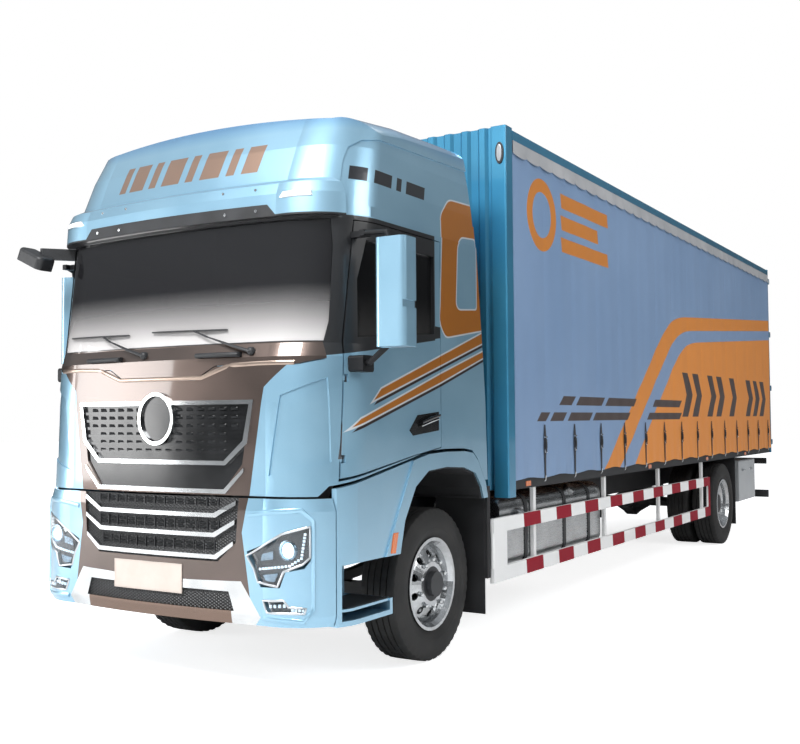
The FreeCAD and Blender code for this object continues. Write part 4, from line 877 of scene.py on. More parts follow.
# Points of a side wall as (distance from the tyre's middle, radius), from the rim outwards.
SIDE_WALL = [(0.112, RIM_SEAT - 0.006), (0.121, RIM_SEAT + 0.012), (0.136, 0.352), (0.1425, 0.376),
             (0.1445, 0.378), (0.1455, 0.384), (TYRE_HALF, 0.408), (TYRE_HALF, 0.430), (0.1462, 0.434),
             (0.1462, 0.440), (0.1452, 0.444), (0.1420, 0.468), (0.1375, 0.486), (0.1330, 0.500),
             (0.1270, 0.512)]
BORE = [(-0.06, 0.292), (0.06, 0.292)]


def tread_line():
    ribs = [(TREAD_HALF, TYRE_RADIUS - 0.002)]
    for at in reversed(GROOVES_AT):
        ribs += [(at + GROOVE_HALF, TYRE_RADIUS), (at + GROOVE_HALF * 0.6, TYRE_RADIUS - GROOVE),
                 (at - GROOVE_HALF * 0.6, TYRE_RADIUS - GROOVE), (at - GROOVE_HALF, TYRE_RADIUS)]
    return ribs + [(-TREAD_HALF, TYRE_RADIUS - 0.002)]


TYRE_LINE = SIDE_WALL + tread_line() + [(-a, r) for a, r in reversed(SIDE_WALL)] + BORE
SHOULDER_SLOT, MIDDLE_SLOT = 0.007, 0.004


def tread_wave(row, step):
    across, radius = TYRE_LINE[row]
    if step % 3 == 0 and abs(across) > 0.084 and radius > 0.48:
        return SHOULDER_SLOT
    if step % 3 == 1 and abs(across) < 0.066 and radius > TYRE_RADIUS - 0.003:
        return MIDDLE_SLOT
    return 0.0


for side in SIDES:
    word = LEFT_RIGHT[side]
    for axle, places in (("front", (1.0,)), ("rear", (1.095, 0.765))):
        tyres = Build()
        for x in places:
            lathe(tyres, TYRE_LINE, (side * x, WHEEL_Y[axle], AXLE_Z), TREAD_STEPS, wave=tread_wave)
        node = ("tyre_front_" if axle == "front" else "tyres_rear_") + word
        tyres.finish("tread_" + axle + "_" + word, TYRE_RUBBER, axle + "_wheel_" + word, "tyre", smooth=28,
                     replaces=(node,))

# %% [markdown]
# Ten nuts hold each wheel. They stand where rays meet the disc, so they always sit on it.

# %% Wheel nuts
NUTS, NUT_CIRCLE, NUT_SIZE, NUT_LENGTH = 10, 0.1675, 0.0165, 0.030
for side in SIDES:
    word = LEFT_RIGHT[side]
    way = Vector((side, 0, 0))
    for axle, node in (("front", "rim_front_" + word), ("rear", "rims_rear_" + word)):
        hit = from_side(surface_of(node), side)
        nuts = Build()
        for i in range(NUTS):
            angle = 2 * math.pi * (i + 0.5) / NUTS
            y = WHEEL_Y[axle] - CAB_FACE + NUT_CIRCLE * math.cos(angle)
            place = hit(y, AXLE_Z + NUT_CIRCLE * math.sin(angle))[0]
            tube(nuts, [place - way * 0.004, place + way * NUT_LENGTH * 0.8, place + way * NUT_LENGTH],
                 [NUT_SIZE, NUT_SIZE, NUT_SIZE * 0.7], 6)
        nuts.finish("wheel_nuts_" + axle + "_" + word, CHROME, axle + "_wheel_" + word, "wheel_steel",
                    bevel=0.001)

# %% [markdown]
# The curtain is one sheet, 2.67 m deep and 9.27 m long, hung from a rail and pulled down by
# straps. Welded seams run down it every 0.6 m, the cloth between them swells by a few
# millimetres, and the hem puckers between the buckles. It is built as a fine grid, closer
# near the hem, in two layers 1.2 mm apart. Only the outer face is printed.

# %% Cloth grid
def grid_faces(columns, rows):
    column = rows + 1
    return [(i * column + j, (i + 1) * column + j, (i + 1) * column + j + 1, i * column + j + 1)
            for i in range(columns) for j in range(rows)]


def grid_rim(columns, rows):
    column = rows + 1
    foot = [i * column for i in range(columns + 1)]
    rear = [columns * column + j for j in range(1, column)]
    head = [i * column + rows for i in range(columns - 1, -1, -1)]
    return foot + rear + head + list(range(rows - 1, 0, -1))


print("a grid of 4 by 2 cells has", len(grid_faces(4, 2)), "faces, rim", len(grid_rim(4, 2)))

# %% Swell and puckers
CURTAIN_LOW, CURTAIN_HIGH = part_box("curtain_left")
BUCKLE_START, BUCKLE_PITCH, BUCKLES = 3.085 + CAB_FACE, 0.655, 14
SEAM_PITCH, SWELL, STRAP_TOP = 0.60, 0.0065, 1.60
HEM_DEPTH, HEM_RISE, HEM_FLARE, HEM_FOLD = 0.42, 0.018, 0.008, 0.003
SLOW_DRIFT, QUICK_DRIFT = 0.0018, 0.0012


def curtain_shift(y, z):
    # How far a point of the cloth stands out and how far the hem is drawn up there.
    along_seam = (y - CURTAIN_LOW.y) / SEAM_PITCH
    free = min(1.0, max(0.25, (z - STRAP_TOP) / 0.4))
    swell = free * SWELL * math.sin(math.pi * (along_seam % 1.0)) ** 0.5
    drift = SLOW_DRIFT * math.sin(y * 2.3 + z * 1.1) * math.sin(z * 2.1 + y * 0.7)
    drift += QUICK_DRIFT * math.sin(y * 21 + z * 0.9)
    low = max(0.0, 1 - (z - CURTAIN_LOW.z) / HEM_DEPTH)
    turns = 2 * math.pi * (y - BUCKLE_START) / BUCKLE_PITCH
    pucker = 0.5 - 0.5 * math.cos(turns)
    flare = low ** 1.5 * pucker * HEM_FLARE + low ** 2 * math.cos(3 * turns) * HEM_FOLD
    return swell + drift + flare, low ** 2 * pucker * HEM_RISE


free_hem = curtain_shift(BUCKLE_START + BUCKLE_PITCH / 2, CURTAIN_LOW.z)
print("between buckles the hem rises", round(1000 * free_hem[1], 1), "mm")

# %% Curtains
TARPAULIN_BACK = woven("plain_back_of_tarpaulin", "#8E9DB0", "#808FA3", 4.0, 0.6, sheen=0.05, wash_mm=1500)
CLOTH_X, CLOTH_THICK, CLOTH_CELLS = 1.2615, 0.0012, (420, 60)
length, depth = CURTAIN_HIGH.y - CURTAIN_LOW.y, CURTAIN_HIGH.z - CURTAIN_LOW.z
columns, rows = CLOTH_CELLS
inner, rim = grid_faces(*CLOTH_CELLS), grid_rim(*CLOTH_CELLS)
for side in SIDES:
    word = LEFT_RIGHT[side]
    corners = []
    for i in range(columns + 1):
        for j in range(rows + 1):
            y = CURTAIN_LOW.y + length * i / columns
            z = CURTAIN_LOW.z + depth * (j / rows) ** 1.5
            out, rise = curtain_shift(y, z)
            corners.append((side * (CLOTH_X + out), y, z + rise))
    step = len(corners)
    sheet = Build()
    sheet.take(corners, inner)
    sheet.take([(x + side * CLOTH_THICK, y, z) for x, y, z in corners], [tuple(reversed(f)) for f in inner])
    sheet.faces += [(a, b, step + b, step + a) for a, b in zip(rim, rim[1:] + rim[:1])]
    cloth = sheet.finish("curtain_cloth_" + word, TARPAULIN, "chassis", "curtain_cloth", smooth=60,
                         replaces=("curtain_" + word,))
    cloth.data.materials.append(TARPAULIN_BACK)
    for face in cloth.data.polygons[:len(inner)]:
        face.material_index = 1

# %% [markdown]
# Each strap has an over-centre buckle: a steel bar at its top, a dark lever with a pad, a
# steel loop below, and webbing that narrows down to the hook under the sill.

# %% Curtain buckles
STRAP_BLACK = woven("black_polyester_webbing", "#232326", "#161618", 5.0, 0.8, sheen=0.1, wash_mm=80)
WEBBING = ((1.600, 0.006), (1.500, 0.023), (1.375, 0.023), (1.345, 0.017), (1.250, 0.013), (1.168, 0.011))
WEBBING_X, WEBBING_HALF, WEBBING_RING = 1.2715, 0.0015, ((-1, -1), (1, -1), (1, 1), (-1, 1))
for side in SIDES:
    word = LEFT_RIGHT[side]
    webbing, levers, hooks = Build(), Build(), Build()
    for i in range(BUCKLES):
        y = BUCKLE_START + BUCKLE_PITCH * i

        def spot(out, shift, z):
            return Vector((side * (WEBBING_X + out), y + shift, z))

        webbing.sweep([[spot(out * WEBBING_HALF, shift * half, z) for out, shift in WEBBING_RING]
                       for z, half in WEBBING])
        levers.box(spot(0.006, 0, 1.438), (0.010, 0.040, 0.085))
        levers.box(spot(0.012, 0, 1.430), (0.006, 0.028, 0.055))
        hooks.box(spot(0.005, 0, 1.497), (0.009, 0.048, 0.014))
        tube(hooks, [spot(0.006, -0.018, 1.395), spot(0.008, -0.018, 1.372), spot(0.008, 0.018, 1.372),
                     spot(0.006, 0.018, 1.395)], 0.0035, 6)
        tube(hooks, [spot(0.003, 0, 1.185), spot(0.002, 0, 1.150), spot(-0.010, 0, 1.138)], 0.005, 6)
    straps = webbing.finish("curtain_straps_" + word, STRAP_BLACK, "chassis", "curtain_cloth", bevel=0.0006)
    lever = levers.finish("curtain_levers_" + word, GRAINED_PLASTIC, "chassis", "black_plastic", bevel=0.0025)
    hook = hooks.finish("curtain_hooks_" + word, CHROME, "chassis", "chrome", bevel=0.001)

# %% [markdown]
# The valance is a grey strip that covers the curtain's rail. It hangs in small scallops, one
# every 0.26 m, because it is nailed at even points and cut a little long.

# %% Valance
VALANCE_LOW, VALANCE_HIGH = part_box("valances")
VALANCE_X, VALANCE_THICK, VALANCE_CELLS = 1.2735, 0.001, (560, 6)
SCALLOP, SCALLOP_RISE, SCALLOP_OUT = 0.262, 0.030, 0.015
length, depth = VALANCE_HIGH.y - VALANCE_LOW.y, VALANCE_HIGH.z - VALANCE_LOW.z
columns, rows = VALANCE_CELLS
valance = Build()
for side in SIDES:
    corners = []
    for i in range(columns + 1):
        run = length * i / columns
        wave = abs(math.sin(math.pi * run / SCALLOP))
        for j in range(rows + 1):
            low = 1 - j / rows
            x = VALANCE_X + SCALLOP_OUT * low * wave
            z = VALANCE_LOW.z + depth * j / rows + low * SCALLOP_RISE * (1 - wave ** 0.6)
            corners.append((side * x, VALANCE_LOW.y + run, z))
    valance.take(corners, grid_faces(columns, rows))
    valance.take([(x - side * VALANCE_THICK, y, z) for x, y, z in corners],
                 [tuple(reversed(f)) for f in grid_faces(columns, rows)])
valance_cloth = valance.finish("valance_cloth", VALANCE_CLOTH, "chassis", "curtain_cloth", smooth=60,
                               replaces=("valances",))

# %% [markdown]
# A headlamp is a clear skin over a dark bowl. Behind the skin are a projector with a bright
# ring, a strip of square lamps along the lower and outer edge, and two small reflectors. A
# silver rim frames it. The lower strip is the fog lamp. The outlines are given for the
# driver's side and mirrored.

# %% Lamp finishes
REFLECTOR = bright_metal("vapour_coated_reflector", "#8FA3B2", 0.22, wash_mm=30)
DARK_BEZEL = matt_black("dark_lamp_bezel", "#3A4148", "#262B30", 3.0, 0.3, 0.1)
RIM_SILVER = bright_metal("silver_lamp_rim", "#D5D9DC", 0.28)


def glowing(name, colour, strength, fade_mm):
    made, tree, shader = material(name, Roughness=0.3, Emission_Strength=strength)
    shimmer = add(tree, "TexNoise", {"Vector": object_point(tree), "Scale": 1000 / fade_mm, "Detail": 1.0})
    glow = add(tree, "ValToRGB", {"Fac": shimmer}, stops=[(0.2, colour), (0.8, "#FFFFFF")])
    plug(shader.inputs["Base Color"], glow)
    plug(shader.inputs["Emission Color"], glow)
    return made


PROJECTOR_GLOW = glowing("lit_projector_lens", "#A9DDF6", 3.0, 60)
LED_GLOW = glowing("lit_square_lamps", "#CFE6F2", 0.55, 20)
print("lamp finishes", [made.name for made in (REFLECTOR, DARK_BEZEL, RIM_SILVER, PROJECTOR_GLOW, LED_GLOW)])

# %% Lamp outlines
LAMP_OUTLINE = [(0.706, 0.856), (0.941, 0.990), (1.095, 1.034), (1.095, 0.858), (1.060, 0.818),
                (0.957, 0.775), (0.918, 0.688), (0.783, 0.706), (0.756, 0.783)]
FOG_OUTLINE = [(0.817, 0.602), (0.957, 0.610), (0.986, 0.572), (1.076, 0.566), (1.068, 0.537),
               (0.846, 0.534)]
LED_PATH = [(0.790, 0.782), (0.985, 0.808), (1.048, 0.852), (1.066, 0.990)]
FOG_PATHS = (([(0.865, 0.570), (0.955, 0.578)], 0.026), ([(1.0, 0.555), (1.055, 0.554)], 0.018))
PROJECTOR_AT = (0.972, 0.896)
INNER_LAMP = [(0.790, 0.828), (0.880, 0.842), (0.884, 0.892), (0.800, 0.868)]
LOW_LAMP = [(0.808, 0.748), (0.915, 0.764), (0.890, 0.712), (0.826, 0.716)]
FORWARD = Vector((0, -1, 0))


def flat_line(outline):
    return [(a, b, 0) for a, b in outline]


def outline_hits(outline, hit, step, out=0.0):
    # Places round a closed outline, each with the direction out of the panel.
    points = resampled(flat_line(outline), step, closed=True)
    return [(hit(p.x, p.y)[0] + FORWARD * out, FORWARD) for p in points]


print("the long row holds", len(resampled(flat_line(LED_PATH), 0.021)), "square lamps on each side")

# %% Headlamps
LAMP_DEPTH, LENS_THICK, BOWL_THICK = 0.030, 0.003, 0.004
PROJECTOR_DEPTH, SQUARE_DEPTH, REFLECTOR_DEPTH = 0.020, 0.012, 0.014
COLLAR_LINE = [(0.0, 0.062), (0.010, 0.060), (0.012, 0.050), (0.002, 0.046), (-0.008, 0.046), (-0.008, 0.062)]
BALL_LINE = [(-0.004, 0.001), (-0.004, 0.044), (0.000, 0.043), (0.007, 0.032), (0.011, 0.016), (0.012, 0.001)]

lamp_hit = from_front(surface_of("headlamps"))
corner_hit = from_front(surface_of("bumper_corners", "headlamps"))
lenses, bowls, rims, glow, leds, lamps = Build(), Build(), Build(), Build(), Build(), Build()
for outline in (LAMP_OUTLINE, FOG_OUTLINE):
    plate(lenses, outline, lamp_hit, FORWARD, 0.0, LENS_THICK)
    plate(bowls, outline, lamp_hit, FORWARD, -LAMP_DEPTH, BOWL_THICK)
    moulding(rims, outline_hits(outline, corner_hit, 0.02), 0.013, 0.005, closed=True)
centre = lamp_hit(*PROJECTOR_AT)[0] - FORWARD * PROJECTOR_DEPTH
lathe(lamps, COLLAR_LINE, centre, 32, (0, -1, 0))
lathe(glow, BALL_LINE, centre, 32, (0, -1, 0))
for point in resampled(flat_line(LED_PATH), 0.021):
    leds.box(lamp_hit(point.x, point.y)[0] - FORWARD * SQUARE_DEPTH, (0.014, 0.010, 0.014))
for line, step in FOG_PATHS:
    for point in resampled(flat_line(line), step):
        leds.box(lamp_hit(point.x, point.y)[0] - FORWARD * SQUARE_DEPTH, (0.014, 0.010, 0.018))
for outline in (INNER_LAMP, LOW_LAMP):
    plate(lamps, outline, lamp_hit, FORWARD, -REFLECTOR_DEPTH, 0.010)
lenses.mirrored().finish("headlamp_lenses", LENS_GLASS, "chassis", "lamp_lens", replaces=("headlamps",))
bowls.mirrored().finish("headlamp_bowls", DARK_BEZEL, "chassis", "black_plastic")
lamps.mirrored().finish("headlamp_reflectors", REFLECTOR, "chassis", "chrome", bevel=0.001)
glow.mirrored().finish("headlamp_projectors", PROJECTOR_GLOW, "chassis", "lamp_lens", smooth=50)
leds.mirrored().finish("headlamp_square_lamps", LED_GLOW, "chassis", "lamp_lens", bevel=0.001)
rims.mirrored().finish("headlamp_rims", RIM_SILVER, "chassis", "chrome", smooth=50)

# %% [markdown]
# The bumper's corner has a raised rib round the lamps, pressed in the same moulding, and
# the blank plate hangs in front of the lower bars on its own holder.

# %% Bumper ribs
RIB = [(0.715, 1.098), (0.90, 1.120), (1.055, 1.128), (1.108, 1.064), (1.108, 0.560), (1.060, 0.492),
       (0.82, 0.503)]
ribs = Build()
rib_hit = from_front(surface_of("bumper_corners"))
moulding(ribs, [(rib_hit(p.x, p.y)[0], FORWARD) for p in resampled(flat_line(RIB), 0.03)], 0.030, 0.007)
ribs.mirrored().finish("bumper_corner_ribs", ICE_PAINT, "chassis", "cab_paint", smooth=60)

# %% Blank plate
PLATE_X, PLATE_Z, PLATE_WIDE, PLATE_HIGH = -0.052, 0.692, 0.575, 0.178
EDGE_INSET, EDGE_WIDE = 0.012, 0.003
PLATE_FINISH = lacquered_paint("blank_plate_enamel", "#BDB1A8", "#B3A69C", metallic=0.0, base_rough=0.4,
                               dust_mm=90)
blank = Build()
blank.box((PLATE_X, CAB_FACE - 0.070, PLATE_Z), (PLATE_WIDE, 0.003, PLATE_HIGH))
wide, high = PLATE_WIDE - EDGE_INSET, PLATE_HIGH - EDGE_INSET
for end in (0.5, -0.5):
    blank.box((PLATE_X, CAB_FACE - 0.0725, PLATE_Z + end * high), (wide, 0.002, EDGE_WIDE))
for end in (0.5, -0.5):
    blank.box((PLATE_X + end * wide, CAB_FACE - 0.0725, PLATE_Z), (EDGE_WIDE, 0.002, high))
blank.finish("blank_plate", PLATE_FINISH, "chassis", "grey_paint", bevel=0.0008)
holder = Build()
for dx in (-0.19, 0.19):
    holder.box((PLATE_X + dx, CAB_FACE - 0.050, PLATE_Z - 0.01), (0.05, 0.042, 0.12))
holder.finish("plate_holder", GRAINED_PLASTIC, "chassis", "black_plastic", bevel=0.003)

# %% [markdown]
# The grilles are injection mouldings: rows of short, faceted fins over a dark mesh. Each fin
# is a small wedge, and the rows are arrays that stop at the grille's own slanted ends.

# %% Fin shape
def fin(build, place, length, height, depth):
    x, y, z = place
    half = length / 2
    foot, head = z - height / 2, z + height / 2
    low, high, lip = z - height * 0.28, z + height * 0.30, y - depth * 0.55
    corners = [(x - half, y, foot), (x + half, y, foot), (x + half, y, head), (x - half, y, head),
               (x - half * 0.55, y - depth, low), (x + half * 0.8, y - depth, low),
               (x + half * 0.55, lip, high), (x - half * 0.8, lip, high)]
    build.take(corners, [(0, 1, 5, 4), (1, 2, 6, 5), (2, 3, 7, 6), (3, 0, 4, 7), (4, 5, 6, 7), (3, 2, 1, 0)])


wedge = Build()
fin(wedge, (0, 0, 0), 0.056, 0.024, 0.013)
print("a fin has", len(wedge.faces), "faces")

# %% Upper grille fins
UPPER_ROWS = (1.723, 1.672, 1.621, 1.570, 1.519, 1.468)
FIN_PITCH, FIN_LENGTH, FIN_SINK = 0.0845, 0.056, 0.002
RING_HALF, RING_FOOT, ROW_REACH, ROW_STEP = 0.15, 1.50, 0.655, 0.028
upper_hit = from_front(surface_of("upper_grille"), CAB_FACE + 0.03)
fins = Build()
for row, z in enumerate(UPPER_ROWS):
    reach = ROW_REACH - ROW_STEP * row * (row > 2)
    for i in range(-7, 8):
        x = FIN_PITCH * i
        in_ring = abs(x) < RING_HALF and z > RING_FOOT
        if not in_ring and abs(x) <= reach:
            fin(fins, upper_hit(x, z)[0] - FORWARD * FIN_SINK, FIN_LENGTH, 0.024, 0.013)
fins.finish("upper_grille_fins", GLOSS_BLACK, "cab", "black_plastic", bevel=0.0012, smooth=20)

# %% Lower grille fins
LOWER_ROWS = ((1.163, 0.036, 0.50), (1.025, 0.046, 0.50), (0.902, 0.046, 0.47))
lower_hit = from_front(surface_of("lower_grille"), CAB_FACE + 0.04)
lower_fins, webs = Build(), Build()
for z, height, reach in LOWER_ROWS:
    for i in range(-6, 6):
        place = lower_hit((i + 0.5) * reach / 6, z)[0] - FORWARD * FIN_SINK
        for up in (-0.26, 0.26):
            fin(lower_fins, place + Vector((0, 0, up * height)), 0.060, height * 0.42, 0.012)
    for i in range(-6, 7):
        webs.box(lower_hit(i * reach / 6, z)[0] + FORWARD * 0.003, (0.006, 0.012, height * 1.25))
lower_fins.finish("lower_grille_fins", GLOSS_BLACK, "chassis", "black_plastic", bevel=0.0012, smooth=20)
webs.finish("lower_grille_webs", GRAINED_PLASTIC, "chassis", "black_plastic", bevel=0.001)

# %% [markdown]
# A champagne line steps down in the middle of the cowl, and two black grab handles stand
# above it for whoever cleans the windscreen. The wipers park along the bottom of the glass.

# %% Cowl line and grab handles
CHAMPAGNE = bright_metal("champagne_anodised_strip", "#B3A093", 0.3)
COWL_LINE = [(-0.985, 1.991), (-0.76, 1.991), (-0.55, 1.984), (-0.345, 1.913), (0.345, 1.913),
             (0.55, 1.984), (0.76, 1.991), (0.985, 1.991)]
cowl_hit = from_front(surface_of("front_panel"))
cowl = Build()
cowl_points = resampled(flat_line(COWL_LINE), 0.04)
moulding(cowl, [(cowl_hit(p.x, p.y)[0], FORWARD) for p in cowl_points], 0.026, 0.006)
cowl.finish("cowl_line", CHAMPAGNE, "cab", "chrome", smooth=60)

HANDLE_Z, HANDLE_HALF, HANDLE_OUT, HANDLE_END = 2.048, 0.145, 0.030, Vector((0.015, 0, 0))
handles = Build()
for middle in (-0.50, 0.47):
    feet = [cowl_hit(middle + dx, HANDLE_Z)[0] for dx in (-HANDLE_HALF, HANDLE_HALF)]
    for foot in feet:
        handles.box(foot + FORWARD * 0.012, (0.040, 0.034, 0.030))
    first, last = (foot + FORWARD * HANDLE_OUT for foot in feet)
    middle_point = first.lerp(last, 0.5) + FORWARD * 0.004
    tube(handles, [first - HANDLE_END, first, middle_point, last, last + HANDLE_END],
         [0.010, 0.015, 0.016, 0.015, 0.010], 10)
handles.finish("cowl_grab_handles", GRAINED_PLASTIC, "cab", "black_plastic", bevel=0.004, smooth=50)

# %% Wipers
WIPERS = [((-0.139, 2.066), (-0.475, 2.172), (-0.916, 2.216), (-0.312, 2.206)),
          ((0.700, 2.066), (0.370, 2.165), (-0.097, 2.214), (0.504, 2.204))]
HUB_LINE = [(-0.004, 0.001), (-0.004, 0.026), (0.020, 0.024), (0.028, 0.014), (0.030, 0.001)]
BLADE_STEPS = 12
glass_hit = from_front(surface_of("windscreen", "cab_shell", "front_panel"))
wipers, blades = Build(), Build()
for pivot, knee, tip, heel in WIPERS:
    base = glass_hit(*pivot)[0]
    lathe(wipers, HUB_LINE, base, 20, (0, -1, 0))
    bend = glass_hit(*knee)[0] + FORWARD * 0.030
    rise = (base + FORWARD * 0.032).lerp(bend, 0.35) + FORWARD * 0.010
    tube(wipers, [base + FORWARD * 0.022, rise, bend], [0.013, 0.010, 0.006], 8, flat=0.6)
    shares = [i / BLADE_STEPS for i in range(BLADE_STEPS + 1)]
    line = [glass_hit(tip[0] + (heel[0] - tip[0]) * s, tip[1] + (heel[1] - tip[1]) * s)[0] for s in shares]
    bow = [p + FORWARD * (0.016 + 0.010 * math.sin(math.pi * s)) for s, p in zip(shares, line)]
    tube(wipers, bow, 0.005, 6)
    tube(blades, [p + FORWARD * 0.008 for p in line], 0.005, 6, flat=0.5)
    tube(wipers, [bend, line[7] + FORWARD * 0.022], 0.007, 6)
wipers.finish("wiper_arms", GRAINED_PLASTIC, "cab", "black_plastic", smooth=50)
blades.finish("wiper_blades", MOULDED_RUBBER, "cab", "black_plastic", smooth=50)

# %% [markdown]
# Small bright screws hold the brim and the visor, and a slim clear lamp marks the brim at
# each side. They all sit where rays from ahead meet the panels.

# %% Brim screws and marker lamps
MARKER = [(0.846, 2.992), (1.048, 2.996), (1.040, 3.024), (0.870, 3.022)]
VISOR_SCREWS = ((0.456, 2.917), (0.682, 2.921), (-0.456, 2.917), (-0.682, 2.921))
BRIM_SCREWS = ((-0.66, 3.058), (-0.42, 3.058), (0.42, 3.058), (0.66, 3.058))
brim_hit = from_front(surface_of("roof_fairing", "sun_visor", "cab_shell"))
screws, markers, marker_rims = Build(), Build(), Build()
for places, head, radius in ((VISOR_SCREWS, 0.007, 0.011), (BRIM_SCREWS, 0.005, 0.009)):
    for x, z in places:
        place = brim_hit(x, z)[0]
        tube(screws, [place - FORWARD * 0.003, place + FORWARD * head], radius, 8)
plate(markers, MARKER, brim_hit, FORWARD, 0.008, 0.014)
moulding(marker_rims, outline_hits(MARKER, brim_hit, 0.03, out=0.002), 0.012, 0.005, closed=True)
screws.finish("brim_screws", CHROME, "cab", "chrome", smooth=50)
markers.mirrored().finish("brim_marker_lamps", LED_GLOW, "cab", "lamp_lens", bevel=0.001)
marker_rims.mirrored().finish("brim_marker_rims", RIM_SILVER, "cab", "chrome", smooth=50)

# %% [markdown]
# Each door has a pocket with a black pull and a bright strip. Its mirror carries two panes of
# real silvered glass, a tall one above a small wide-angle one. The panes of the folded mirror
# are turned about the same point and by the same angle as its shell.

# %% Door pulls
POCKET = [(0.948, 1.58), (1.052, 1.678), (1.341, 1.702), (1.339, 1.575), (0.993, 1.545)]
PULL_LINE = ((1.075, 1.605), (1.20, 1.632), (1.318, 1.652))


def door_pull(side):
    word = LEFT_RIGHT[side]
    out = Vector((side, 0, 0))
    hit = from_side(surface_of("door_" + word), side)
    pocket, lever = Build(), Build()
    plate(pocket, POCKET, hit, out, 0.0025, 0.005)
    ends = [hit(y, z)[0] + out * 0.020 for y, z in PULL_LINE]
    tube(pocket, [p + Vector((0, 0, 0.022)) for p in ends], [0.016, 0.020, 0.014], 10, flat=0.6)
    tube(lever, ends, [0.006, 0.009, 0.006], 8, flat=0.6)
    pocket.finish("door_pull_" + word, GLOSS_BLACK, "door_" + word, "black_plastic", bevel=0.001, smooth=50)
    lever.finish("door_pull_strip_" + word, CHROME, "door_" + word, "chrome", smooth=50)


print("the pull is", round(PULL_LINE[-1][0] - PULL_LINE[0][0], 3), "m long")

# %% Mirror glass
SILVERED = bright_metal("silvered_mirror_glass", "#C9D2D8", 0.02)
PANE_X, PANE_Y, PANE_WIDE, PANE_THICK = 1.522, CAB_FACE + 0.4255, 0.160, 0.003
PANES = ((2.105, 2.270), (2.290, 2.685))


def mirror_panes(side):
    word = LEFT_RIGHT[side]
    turn = Matrix.Identity(3)
    middle = Vector((side * PANE_X, PANE_Y))
    if side < 0:
        turn = Matrix.Rotation(FOLD_ANGLE, 3, "Z")
        middle = FOLD_POINT + Matrix.Rotation(FOLD_ANGLE, 2) @ (middle - FOLD_POINT)
    pane = Build()
    for low, high in PANES:
        pane.box((middle.x, middle.y, (low + high) / 2), (PANE_WIDE, PANE_THICK, high - low), turn)
    pane.finish("mirror_glass_" + word, SILVERED, "door_" + word, "mirror_plastic", bevel=0.001)


for side in SIDES:
    door_pull(side)
    mirror_panes(side)

# %% [markdown]
# The steps below the door have a ribbed tread that a wet boot can't slip on. Its bars are
# laid where a ray from above finds the step level for most of its depth.

# %% Step treads
STEP_CEILINGS, STEP_DEPTH, SHORTEST_RUN, MOST_SLOPE = (0.70, 1.10), 0.28, 6, 0.01
BAR_WIDE, BAR_HIGH, BAR_RISE = 0.012, 0.008, 0.002
UP = Vector((0, 0, 1))
steps = surface_of("side_steps")


def from_top(x, y, ceiling):
    return steps.ray_cast(Vector((x, y + CAB_FACE, ceiling)), -UP)[:2]


treads = Build()
for ceiling in STEP_CEILINGS:
    for x in [share / 100 for share in range(96, 124, 2)]:
        hits = [from_top(x, share / 100, ceiling) for share in range(20, 98, 2)]
        level = [place for place, normal in hits if place is not None and normal.z > 0.95
                 and place.z > ceiling - STEP_DEPTH]
        if len(level) >= SHORTEST_RUN and abs(level[1].z - level[-2].z) < MOST_SLOPE:
            first, last = level[1], level[-2]
            treads.box((first + last) / 2 + UP * BAR_RISE, (BAR_WIDE, (last - first).length, BAR_HIGH))
print("tread bars", len(treads.corners) // 8)
treads.mirrored().finish("step_treads", GRAINED_PLASTIC, "chassis", "black_plastic", bevel=0.0012)

# %% [markdown]
# Amber lamps and reflectors mark the truck's length: one on each front wing's edge and a row
# under the curtain's sill. The tail lamps have amber and clear windows beside the red.

# %% Side markers and reflectors
AMBER_OUTLINE = [(0.727, 0.943), (0.781, 0.943), (0.745, 0.815), (0.692, 0.820)]
SILL_MARKERS, MARKER_SIZE = (2.80, 5.90, 8.17, 10.20), (0.006, 0.095, 0.040)
ambers = Build()
wing_hit = from_side(surface_of("wheel_arches", "bumper_corners", "side_steps"))
plate(ambers, AMBER_OUTLINE, wing_hit, (1, 0, 0), 0.006, 0.010)
for y in SILL_MARKERS:
    ambers.box((1.2455, y + CAB_FACE, 1.135), MARKER_SIZE)
ambers.mirrored().finish("amber_side_markers", AMBER_LENS, "chassis", "lamp_red", bevel=0.0015)

# %% Tail lamp windows
TAIL_LOW, TAIL_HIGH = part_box("tail_lamps")
windows, clears = Build(), Build()
lamp_z = (TAIL_LOW.z + TAIL_HIGH.z) / 2
windows.box((1.10, TAIL_HIGH.y - 0.002, lamp_z), (0.075, 0.008, 0.056))
clears.box((0.86, TAIL_HIGH.y - 0.002, lamp_z), (0.060, 0.008, 0.056))
windows.mirrored().finish("tail_amber_windows", AMBER_LENS, "chassis", "lamp_red", bevel=0.0015)
clears.mirrored().finish("tail_clear_windows", RIM_SILVER, "chassis", "lamp_lens", bevel=0.0015)

# %% [markdown]
# A clear oval clearance lamp stands near the top of each front post of the body, in a dark rim.

# %% Post lamps
POST_LAMP, POST_LAMP_SIZE, OVAL_STEPS = (1.225, 3.705), (0.036, 0.085), 24


def oval(wide, high):
    turns = [2 * math.pi * i / OVAL_STEPS for i in range(OVAL_STEPS)]
    return [(POST_LAMP[0] + wide * math.cos(a), POST_LAMP[1] + high * math.sin(a)) for a in turns]


post_hit = from_front(surface_of("front_wall"))
post_rims, post_lenses = Build(), Build()
plate(post_rims, oval(*POST_LAMP_SIZE), post_hit, FORWARD, 0.010, 0.012)
plate(post_lenses, oval(POST_LAMP_SIZE[0] * 0.6, POST_LAMP_SIZE[1] * 0.8), post_hit, FORWARD, 0.015, 0.008)
post_rims.mirrored().finish("post_lamp_rims", CHASSIS_PAINT, "chassis", "black_plastic", bevel=0.002)
post_lenses.mirrored().finish("post_lamp_lenses", RIM_SILVER, "chassis", "lamp_lens", bevel=0.002)

# %% [markdown]
# The toolbox lid is held by two T-handles, and the fuel tank is filled through a locking
# cap on a short neck on its upper shoulder.

